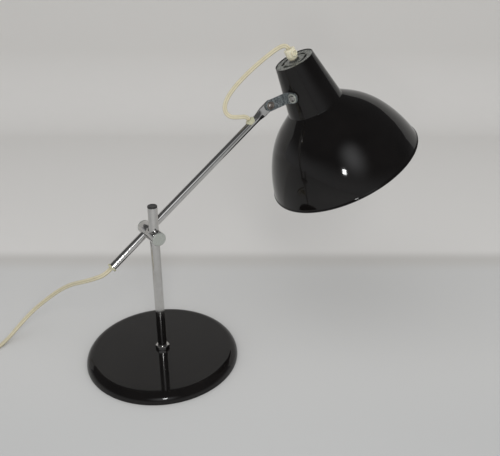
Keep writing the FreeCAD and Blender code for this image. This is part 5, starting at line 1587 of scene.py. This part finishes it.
@dataclass
class Hinge:
    """Bent strap between the arm and the neck, with its rolled eyelet and its screw."""

    half_width: float = 7.5
    thickness: float = 1.8
    low: float = 1.7
    reach: float = 24.6
    tab_reach: float = 9.6
    bend: float = 67.6
    bend_radius: float = 1.5
    edge: float = 0.55
    screw_hole: float = 2.55
    eyelet_hole: float = 3.45
    arm_face: float = -1.25
    screw_radius: float = 2.5
    screw_tip: float = -10.676
    washer_radius: float = 6.4
    washer_height: float = 1.0
    # Turned outlines: radius, distance past the face that the end lies on, and rounding
    eyelet_foot: tuple[Triple, ...] = ((2.5, 0.9, 0.5), (4.5, 1.1, 0.4), (5.3, 0.5, 0.35),
                                       (5.3, 0.0, 0.05), (3.4, 0.0, 0.0))
    eyelet_head: tuple[Triple, ...] = ((3.4, 0.0, 0.0), (5.3, 0.0, 0.05), (5.3, 0.5, 0.35),
                                       (4.4, 1.1, 0.5), (3.3, 0.85, 0.4), (2.5, 0.1, 0.6))
    screw_head: tuple[Triple, ...] = ((4.4, 0.0, 0.1), (4.4, 1.0, 0.5), (3.7, 2.0, 0.6),
                                      (2.7, 2.35, 0.25), (2.3, 1.75, 0.2), (1.3, 1.7, 0.2),
                                      (1.0, 2.2, 0.3), (0.0, 2.4, 0.0))

    def strap(self) -> None:
        """Makes the strap along a line that runs flat, bends and runs flat again.

        At a distance d from an end the half width is the square root of R squared
        minus (R - d) squared. Across the thickness the edges are rounded, and at
        the ends the rounding is held to the distance that is left.
        """
        radius, half = self.half_width, self.thickness / 2
        lean = math.radians(self.bend)
        trim = self.bend_radius * math.tan(lean / 2)
        first = radius + self.reach - trim
        arc = (self.bend_radius + half) * lean
        last = self.tab_reach + radius - trim
        total = first + arc + last
        ease = radius * (1.0 - np.cos(np.linspace(0.0, np.pi / 2, 30)))
        place = np.concatenate([ease, np.linspace(radius + 2.0, first, 6),
                                first + arc * np.linspace(0, 1, 16)[1:],
                                np.linspace(first + arc, total - radius, 4)[1:-1], total - ease[::-1]])
        turn = np.clip((place - first) / arc, 0.0, 1.0) * lean
        swing = self.bend_radius + half
        beyond = np.maximum(place - first - arc, 0.0)
        before = np.minimum(place, first)
        line_x = before - radius + swing * np.sin(turn) + beyond * math.cos(lean)
        line_z = self.low + half + swing * (1.0 - np.cos(turn)) + beyond * math.sin(lean)
        left = np.minimum(place, total - place)[:, None]
        round_angle = np.linspace(0.0, np.pi / 2, 7)
        most = np.arccos(np.clip(1.0 - left / self.edge, 0.0, 1.0))
        level = np.minimum(round_angle[None, :], most)
        inset = self.edge * (1.0 - np.cos(level))
        height = half - self.edge + self.edge * np.sin(level)
        from_end = radius - np.minimum(left, radius)
        wide = np.sqrt(np.maximum((radius - inset) ** 2 - from_end ** 2, 0.0))
        share = np.linspace(0.75, -0.75, 7)
        top = wide[:, -1:] * share[None, :]
        flat = np.broadcast_to(height[:, -1:], top.shape)
        across = np.concatenate([wide, top, -wide[:, ::-1], -wide, -top, wide[:, ::-1]], 1)
        up = np.concatenate([height, flat, height[:, ::-1], -height, -flat, -height[:, ::-1]], 1)
        normal_x, normal_z = -np.sin(turn)[:, None], np.cos(turn)[:, None]
        grid = np.stack([line_x[:, None] + normal_x * up, across, line_z[:, None] + normal_z * up], -1)
        columns = np.zeros(across.shape[1], np.int64)
        columns[:5] = columns[16:26] = columns[-5:] = 1  # the edges, painted pale as a highlight on rubbed metal
        piece = grid_piece("hinge_strap", HINGE.place(grid), False, True, True, column_bands=columns)
        carve(piece, rod_piece("hole", self.eyelet_hole, 0.0, 6.0, HINGE, 64),
              rod_piece("hole", self.screw_hole, -4.0, 2.0, TAB, 48))
        finished(piece, "link", "zinc_steel", [ZINC, PAINTED_HIGHLIGHT_EDGE], "link_strap")

    def eyelet(self) -> None:
        """Turns the hollow rivet: its ends roll outwards over the strap and the arm."""
        top, low = self.low + self.thickness + SEAT_GAP, self.arm_face
        corners = [(radius, low - past, edge) for radius, past, edge in self.eyelet_foot]
        corners += [(radius, top + past, edge) for radius, past, edge in self.eyelet_head]
        piece = lathe("rolled_eyelet", corners, HINGE, 96)
        finished(piece, "link", "zinc_steel", [PAINTED_SHADE_STEEL], "hinge_eyelet")

    def screw(self) -> None:
        """Turns the tilt screw: a dome with a sunk ring round a small centre point."""
        base, tip, shank = self.washer_height, self.screw_tip, self.screw_radius
        corners = [(0.0, tip, 0.0), (shank, tip, 0.4), (shank, base, 0.0)]
        corners += [(radius, base + past, edge) for radius, past, edge in self.screw_head]
        piece = lathe("dome_screw", corners, TAB, 96, 5, False)
        finished(piece, "shade", "zinc_steel", [STEEL], "tilt_screw")
        low, high, hole, rim = SEAT_GAP, base - SEAT_GAP, self.screw_hole, self.washer_radius
        corners = [(hole, low, 0.1), (rim, low, 0.3), (rim, high, 0.3), (hole, high, 0.1)]
        piece = lathe("screw_washer", corners, TAB, 96)
        finished(piece, "shade", "zinc_steel", [PLATE], "tilt_washer")

    def build(self) -> None:
        """Makes the hinge's pieces."""
        self.strap()
        self.eyelet()
        self.screw()


# Shade

@dataclass
class Shade:
    """Tapered neck and flared dome, spun in one piece."""

    neck_top: float = 26.4
    neck_length: float = 68.0
    neck_foot: float = 38.7
    foot_radius: float = 2.0
    wall: float = 0.9
    flank: float = 21.1
    flank_angle: float = 53.2
    first_radius: float = 118.0
    knee_angle: float = 32.5
    second_radius: float = 183.0
    rim_angle: float = 13.3
    bead: float = 1.3
    black_inside: float = 9.0

    def outer(self) -> tuple[Points, Points]:
        """Outer line of the wall and the outward direction at each of its points.

        The neck is a straight taper, then a short straight flank, then two arcs
        of growing radius that end at the rim.

        Returns:
            (radius, depth) points and unit outward directions.
        """
        taper = math.atan2(self.neck_foot - self.neck_top, self.neck_length)
        steps = np.radians([self.flank_angle, self.knee_angle, self.rim_angle])
        share = np.linspace(0.0, 1.0, 20)[:, None]
        top = np.array([self.neck_top, 0.0])
        foot = np.array([self.neck_foot, self.neck_length])
        bend = np.linspace(taper, steps[0], 9)
        angle = np.linspace(steps[0], steps[1], 40)
        late = np.linspace(steps[1], steps[2], 40)
        mirror = np.array([1.0, -1.0])
        turned_in = circle(bend) * mirror
        flank_out, knee_out = (circle(steps[:1]) * mirror)[0], (circle(steps[1:2]) * mirror)[0]
        trim = self.foot_radius * math.tan((steps[0] - taper) / 2)
        along = np.array([math.sin(taper), math.cos(taper)])
        side = np.array([math.cos(taper), -math.sin(taper)])
        corner = foot - along * trim + side * self.foot_radius - self.foot_radius * turned_in
        start = foot + self.flank * np.array([math.sin(steps[0]), math.cos(steps[0])])
        centre = start - self.first_radius * flank_out
        first = centre + self.first_radius * (circle(angle) * mirror)
        centre = first[-1] - self.second_radius * knee_out
        second = centre + self.second_radius * (circle(late) * mirror)
        neck = top + (corner[0] - top) * share[:-1]
        flank = corner[-1] + (first[0] - corner[-1]) * share[1:-1]
        line = np.concatenate([neck, corner, flank, first, second[1:]])
        angles = np.concatenate([np.full(len(neck), taper), bend, np.full(len(flank), steps[0]),
                                 angle, late[1:]])
        return line, circle(angles) * mirror

    def build(self) -> None:
        """Turns the shell: black outside and in the neck's mouth, white further in."""
        line, outward = self.outer()
        inner = line - outward * self.wall
        rim = (line[-1] + inner[-1]) / 2
        heading = math.atan2(outward[-1][1], outward[-1][0])
        start = heading - 0.8
        round_edge = np.linspace(start, start + FULL_TURN - 1.1, 20)
        bead = rim + circle(round_edge, self.bead)
        profile = np.concatenate([line[:-1], bead, inner[::-1][1:]])
        is_inside = np.arange(len(profile)) > len(line) + 12
        bands = (is_inside & (profile[:, 1] > self.black_inside)).astype(np.int64)
        finished(revolve("shade_spun", profile, SHADE, 288, row_bands=bands), "shade", "black_enamel",
                 [BLACK_ENAMEL, WHITE_ENAMEL], "shade_shell")


@dataclass
class NeckTop:
    """Slotted plate in the neck's mouth, its nut and the cord grip."""

    recess: float = 0.8
    thickness: float = 1.4
    skirt: float = 8.0
    inner_top: float = 25.485
    slope: float = 0.18088
    hole: float = 5.05
    slot_inner: float = 14.0
    slot_outer: float = 18.0
    slot_half_angle: float = 33.0
    slots: int = 4
    grip_top: float = 15.5
    grip_top_radius: float = 7.4
    grip_foot_radius: float = 6.2
    grip_waist: float = 6.0
    boss_radius: float = 4.4
    boss_reach: float = 9.0
    boss_height: float = 9.6
    grip_foot: float = 1.9
    grip_seat: float = 3.55
    screw_hole: float = 2.65
    boss_start: float = 4.2
    nut_flats: float = 14.0
    nut_foot: float = -0.75
    nut_top: float = 1.85

    def slot_outline(self) -> Points:
        """Outline of the slot that lies across the X axis: two arcs joined by half circles."""
        reach = math.radians(self.slot_half_angle)
        arc = np.linspace(-reach, reach, 24)
        cap = np.linspace(0.0, np.pi, 9)[1:-1, None]
        arcs = circle(arc)
        ahead = np.array([math.cos(reach), math.sin(reach)])
        aside = np.array([-math.sin(reach), math.cos(reach)])
        middle = (self.slot_inner + self.slot_outer) / 2
        half = (self.slot_outer - self.slot_inner) / 2
        far = ahead * middle + half * (np.cos(cap) * ahead + np.sin(cap) * aside)
        near = far[::-1] * np.array([1.0, -1.0])
        return np.concatenate([self.slot_outer * arcs, far, self.slot_inner * arcs[::-1], near])

    def plate(self) -> None:
        """Turns the plate with its skirt, and cuts its curved slots."""
        high, low = self.recess, self.recess + self.thickness
        foot = self.recess + self.skirt

        def wall(depth: float) -> float:
            """Radius of the skirt's outside at a depth."""
            return self.inner_top + self.slope * depth - SEAT_GAP

        corners = [(self.hole, high, 0.0), (wall(high), high, 0.35), (wall(foot), foot, 0.2),
                   (wall(foot) - self.thickness, foot, 0.2), (wall(low) - self.thickness, low, 0.6),
                   (self.hole, low, 0.0)]
        piece = lathe("neck_plate", corners, SHADE, 144, 5)
        levels = np.array([[high - 1.0, 0.0], [low + 1.0, 0.0]])
        for number in range(self.slots):
            place = SHADE.turned(360.0 * number / self.slots)
            carve(piece, pillow("slot", self.slot_outline(), levels, place))
        # The rounded edges take the pale painted highlight.
        eased_edges(piece, 0.5, 2, 1, 50.0)
        finished(piece, "shade", "grey_cap", [GREY_SPECKLE, PAINTED_HIGHLIGHT_EDGE], "neck_cap")

    def grip(self) -> None:
        """Turns the cream grip and adds the boss of its clamping screw."""
        low, seat, high = self.grip_foot, self.grip_seat, self.grip_top
        corners = [(self.hole, low, 0.1), (self.grip_foot_radius, low, 0.4),
                   (self.grip_top_radius, self.grip_waist, 1.2), (self.grip_top_radius, high, 1.3),
                   (FLEX_BORE, high, 0.6), (FLEX_BORE, seat, 0.0), (self.hole, seat, 0.0)]
        body = lathe("grip_body", corners, GRIP, 96, 7)
        place = GRIP.shifted((0.0, 0.0, self.boss_height)).facing((1.0, 0.0, 0.0), (0.0, 1.0, 0.0))
        hole, start, reach = self.screw_hole, self.boss_start, self.boss_reach
        corners = [(hole, start, 0.0), (self.boss_radius, start, 0.0),
                   (self.boss_radius, reach, 0.7), (hole, reach, 0.35)]
        boss = lathe("grip_boss", corners, place, 64)
        finished(joined("cord_clamp", [body, boss]), "shade", "cream_plastic", [CREAM_PLASTIC],
                 "cord_grip")
        screw = softened("clamp_screw", "grip_screw", 0.15)
        finished(screw, "shade", "zinc_steel", [CREAM_PLASTIC], "grip_screw")

    def build(self) -> None:
        """Makes the pieces on top of the neck."""
        self.plate()
        nut = hexagon_nut("plate_nut", self.nut_flats, self.hole, self.nut_foot, self.nut_top, GRIP,
                          0.2)
        finished(nut, "shade", "zinc_steel", [STEEL], "cap_nut")
        self.grip()


@dataclass
class Holder:
    """Lampholder with its bulb, inside the neck."""

    radius: float = 20.0
    neck_radius: float = 16.0
    wall: float = 2.2
    top: float = 2.25
    joint: float = 26.0
    foot: float = 58.0
    mouth: float = 13.5
    seat: float = 15.05
    insert_foot: float = 28.55
    flutes: int = 30
    bulb_tip: float = 31.0
    bulb_radius: float = 30.0
    bulb_length: float = 105.0
    cap_length: float = 27.2
    cap_radius: float = 12.9
    cap_rim: float = 13.2
    cap_bore: float = 12.2
    thread_pitch: float = 3.6
    thread_depth: float = 0.3
    stem_radius: float = 13.0
    stem_waist: float = 1.4
    nipple_hole: float = 5.05
    flute_depth: float = 0.35
    thread_start: float = 5.6
    cap_floor: float = 6.0
    # Lower end of the screw cap: radius and height over its tip
    cap_tip: tuple[tuple[float, float], ...] = ((0.0, 0.0), (4.4, 0.0), (11.0, 3.2), (12.6, 5.0))

    def cap(self) -> None:
        """Turns the holder's cap, with rounded shoulders."""
        shoulder = self.top + self.wall * 2
        low = shoulder + self.wall * 2
        corners = [(self.nipple_hole, self.top, 0.0),
                   (self.neck_radius - self.wall * 2, self.top, 1.0),
                   (self.neck_radius, shoulder, 1.0), (self.radius, low, 1.2),
                   (self.radius, self.joint, 0.3), (self.radius - self.wall, self.joint, 0.0),
                   (self.radius - self.wall, low + self.wall / 2, 0.5),
                   (self.neck_radius - self.wall, shoulder + self.wall, 0.5),
                   (self.nipple_hole, shoulder + self.wall, 0.0)]
        finished(lathe("holder_top", corners, SHADE, 96), "shade", "bakelite", [BAKELITE],
                 "holder_cap")

    def sleeve(self) -> None:
        """Turns the holder's sleeve; a cosine round it gives the grip flutes of its collar."""
        face = self.joint + SEAT_GAP
        lip = self.radius - self.wall / 2
        step = face + self.wall * 2
        corners = [(self.seat, face, 0.0), (self.radius, face, 0.3), (self.radius, step, 0.6),
                   (lip, face + self.wall * 3, 0.6), (lip, self.foot - self.wall, 0.5),
                   (lip - self.wall / 2, self.foot, 0.6), (self.mouth, self.foot, 0.5),
                   (self.mouth, self.insert_foot, 0.0), (self.seat, self.insert_foot, 0.0)]
        profile = rounded_profile(corners, 6)
        turn = around(240)
        collar = ((profile[:, 0] > self.radius - 0.4) & (profile[:, 1] < step)).astype(float)
        flutes = 0.5 - 0.5 * np.cos(self.flutes * turn)
        swell = -self.flute_depth * collar[:, None] * flutes[None, :]
        piece = revolve("holder_sleeve", profile, SHADE, 240, swell=swell)
        finished(piece, "shade", "bakelite", [BAKELITE], "holder_shell")

    def bulb(self) -> None:
        """Turns the bulb: a rolled screw cap whose radius waves with the thread, and a glass."""
        low, foot = self.bulb_tip, self.bulb_tip + self.cap_length
        floor = low + self.cap_floor
        depth = np.concatenate([[low + height for _, height in self.cap_tip],
                                np.linspace(low + self.thread_start, foot - 1.0, 70),
                                [foot, foot, floor, floor]])
        radius = np.concatenate([[radius for radius, _ in self.cap_tip], np.full(70, self.cap_radius),
                                 [self.cap_rim, self.cap_bore, self.cap_bore, 0.0]])
        turn = around(96)
        threaded = ((depth > low + 5.5) & (depth < foot - 2.0) & (radius > 12.8)).astype(float)
        wave = np.cos(FULL_TURN * depth[:, None] / self.thread_pitch - turn[None, :])
        swell = self.thread_depth * threaded[:, None] * wave
        cap = revolve("screw_cap", np.stack([radius, depth], 1), SHADE, 96, False, swell=swell)
        finished(cap, "shade", "brass", [BRASS], "bulb_cap")
        centre = self.bulb_tip + self.bulb_length - self.bulb_radius
        start = math.radians(128.0)
        arc = np.linspace(start, 0.0, 60)
        round_part = np.stack([self.bulb_radius * np.sin(arc), centre + self.bulb_radius * np.cos(arc)], 1)
        share = eased(np.linspace(0.0, 1.0, 24))[:, None]
        top = np.array([self.stem_radius, foot + SEAT_GAP])
        stem = top + (round_part[0] - top) * np.linspace(0.0, 1.0, 24)[:, None]
        stem[:, 0] -= self.stem_waist * np.sin(np.pi * share[:, 0])
        glass = np.concatenate([stem[:-1], round_part])
        inner = np.array([[0.0, centre + self.bulb_radius - 1.0]])
        thin = glass[:-1][::-1] - np.array([0.9, 0.0])
        thin[:, 1] -= 0.8 * np.clip((thin[:, 1] - centre) / self.bulb_radius, 0.0, 1.0)
        profile = np.concatenate([inner, thin[thin[:, 0] > 1.0], glass])
        body = revolve("bulb_envelope", profile, SHADE, 120, False)
        finished(body, "shade", "bulb_glass", [FROSTED_GLASS], "bulb_glass")

    def build(self) -> None:
        """Makes the lampholder and the bulb."""
        self.cap()
        self.sleeve()
        self.bulb()


# In-line switch and plug

def evenly_spaced(outline: Points, count: int = 400) -> Points:
    """Spreads points evenly along a closed outline.

    Args:
        outline: Outline as (n, 2).
        count: Number of new points.

    Returns:
        The new points as (count, 2).
    """
    ring = np.concatenate([outline, outline[:1]])
    reach = run_lengths(ring)
    at = np.linspace(0.0, reach[-1], count, endpoint=False)
    return np.stack([np.interp(at, reach, ring[:, axis]) for axis in range(2)], 1)


@dataclass(frozen=True)
class Ribs:
    """Finger ribs across the long sides of a moulding, in millimetres."""

    start: float
    end: float
    pitch: float
    depth: float
    crest: float
    fade: float = 1.5

    def shifts(self, outline: Points, along: NDArray[np.float64]) -> Points:
        """Inward shift of each point: a cosine that fades in and out at its ends.

        Args:
            outline: Outline as (n, 2).
            along: Place of each point along the ribs.

        Returns:
            Shifts across the moulding as (n, 2).
        """
        window = eased((along - self.start) / self.fade) * eased((self.end - along) / self.fade)
        wave = 0.5 - 0.5 * np.cos(FULL_TURN * (along - self.crest) / self.pitch)
        inward = -np.sign(outline[:, 1]) * self.depth * window * wave
        return np.stack([np.zeros_like(inward), inward], 1)


@dataclass
class Switch:
    """Two-part moulded case with a rocker and two screws."""

    length: float = 62.0
    width: float = 27.0
    height: float = 15.0
    split: float = 7.0
    low: float = 0.3
    edge: float = 2.0
    corner: float = 6.75
    ribs: Ribs = Ribs(9.5, 23.5, 2.0, 0.32, 9.5)
    rocker_room: Triple = (16.2, 10.0, 5.1)
    screw_place: float = 21.0
    screw_hole: float = 2.75
    recess: float = 2.0
    screw_turn: float = 25.0
    screw_slot: Triple = (6.0, 0.7, 1.6)
    # Outline of a screw: radius, height over the table, and rounding
    screw: tuple[Triple, ...] = ((0.0, 2.05, 0.0), (1.5, 2.05, 0.2), (1.5, 13.05, 0.0),
                                 (2.7, 13.05, 0.1), (2.7, 14.2, 0.3), (1.6, 14.75, 0.3),
                                 (0.0, 14.82, 0.0))

    def outline(self) -> tuple[Points, Points]:
        """Plan of the case, a rounded rectangle, and the shifts of its finger ribs."""
        x, y, corner = self.length / 2, self.width / 2, self.corner
        corners = [(x, -y, corner), (x, y, corner), (-x, y, corner), (-x, -y, corner)]
        plan = evenly_spaced(rounded_profile(corners, 14))
        return plan, self.ribs.shifts(plan, np.abs(plan[:, 0]))

    def build(self) -> list[Piece]:
        """Makes the case, its screws and its rocker.

        Returns:
            The pieces.
        """
        outline, ribs = self.outline()
        base = pillow("switch_tray", outline, round_levels(self.low, self.split, self.edge, 0.3),
                      SWITCH, ribs=ribs)
        levels = round_levels(self.split + SEAT_GAP, self.height, 0.3, self.edge)
        cover = pillow("switch_lid", outline, levels, SWITCH, ribs=ribs)
        room_x, room_y, room_z = self.rocker_room
        carve(cover, box_piece("room", (room_x, room_y, 2 * room_z), (0.0, 0.0, self.height), SWITCH))
        places = {side: SWITCH.shifted((side * self.screw_place, 0.0, 0.0)) for side in (-1.0, 1.0)}
        for place in places.values():
            carve(cover, rod_piece("recess", self.screw_hole, self.height - self.recess,
                                   self.height + self.recess, place))
        eased_edges(cover, 0.3, 2, -1, 50.0)
        screws = []
        for side, place in places.items():
            screw = lathe("screw", list(self.screw), place, 48, 4, False)
            slot = box_piece("slot", self.screw_slot, (0.0, 0.0, self.height - 0.2),
                             place.turned(self.screw_turn * side))
            screws.append(carve(screw, slot))
        rocker = softened("rocker_key", "switch_rocker", 0.5, 3)
        return [
            finished(base, "base", "cream_plastic", [CREAM_PLASTIC], "switch_base"),
            finished(cover, "base", "cream_plastic", [CREAM_PLASTIC], "switch_cover"),
            finished(joined("case_screws", screws), "base", "zinc_steel", [STEEL], "switch_screws"),
            finished(rocker, "rocker", "rocker_plastic", [DARK_CREAM], "switch_rocker"),
        ]


@dataclass
class Plug:
    """Flat moulded two-pin plug."""

    length: float = 36.0
    width: float = 26.0
    tail: float = 11.0
    height: float = 13.6
    low: float = 0.3
    edge: float = 2.4
    ribs: Ribs = Ribs(-1.0, 13.0, 2.2, 0.4, 0.0)
    pin_radius: float = 2.0
    pin_length: float = 19.0
    pin_spacing: float = 18.6
    sleeve_length: float = 10.0

    def outline(self) -> tuple[Points, Points]:
        """Plan of the body, a narrow tail that widens to the face, and its finger ribs' shifts."""
        half, wide, tail = self.length / 2, self.width / 2, self.tail / 2
        neck = -half + self.length / 6
        side = [(-half, -tail, 3.2), (neck, -tail, 6.0), (0.0, -wide, 6.0), (half, -wide, 3.0)]
        mirrored = [(x, -y, radius) for x, y, radius in reversed(side)]
        plan = evenly_spaced(rounded_profile(side + mirrored, 14))
        on_flank = np.abs(plan[:, 1:]) > wide - 1.5
        return plan, self.ribs.shifts(plan, plan[:, 0]) * on_flank

    def build(self) -> list[Piece]:
        """Makes the body and its two pins.

        Returns:
            The pieces.
        """
        top = self.low + self.height
        outline, ribs = self.outline()
        body = pillow("plug_moulding", outline, round_levels(self.low, top, self.edge, self.edge),
                      PLUG, ribs=ribs)
        finished(body, "base", "cream_plastic", [CREAM_PLASTIC], "plug_body")
        pins = []
        face, radius, bare = self.length / 2, self.pin_radius, self.pin_radius - 0.12
        root, sleeve, tip = face - 3.0, face + self.sleeve_length, face + self.pin_length
        profile = rounded_profile([(0.0, root, 0.0), (radius, root, 0.0), (radius, sleeve, 0.1),
                                   (bare, sleeve, 0.0), (bare, tip, 1.3), (0.0, tip, 0.0)], 7, False)
        bands = (profile[:, 1] > sleeve - 0.05).astype(np.int64)[:-1]
        for side in (-1.0, 1.0):
            place = PLUG.shifted((0.0, side * self.pin_spacing / 2, self.low + self.height / 2))
            place = place.facing((1.0, 0.0, 0.0), (0.0, 1.0, 0.0))
            pins.append(revolve("pin", profile, place, 48, False, bands))
        bands = np.concatenate([[face.material_index for face in pin.data.polygons] for pin in pins])
        group = joined("plug_prongs", pins)
        group.data.polygons.foreach_set("material_index", bands.astype(np.int32))
        finished(group, "base", "brass", [CREAM_PLASTIC, BRASS], "plug_pins")
        return [body, group]


def dress_nodes() -> None:
    """Gives every CAD node that still shows its own finish."""
    for name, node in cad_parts.items():
        finish = NODE_FINISHES.get(name, CREAM_PLASTIC)
        node.data.materials.clear()
        node.data.materials.append(finish.make())


def main() -> None:
    """Builds the lamp's looks, sub-assembly by sub-assembly."""
    logging.basicConfig(level=logging.INFO, format="%(name)s %(message)s")
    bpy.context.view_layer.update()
    Studio().build()
    dress_nodes()
    switch, plug = Switch().build(), Plug().build()
    Flex().build(switch, plug)
    for part in (Base(), Post(), Clamp(), Arm(), Hinge(), Shade(), NeckTop(), Holder()):
        part.build()
        log.info("%s done", type(part).__name__)


if __name__ == "__main__":
    main()
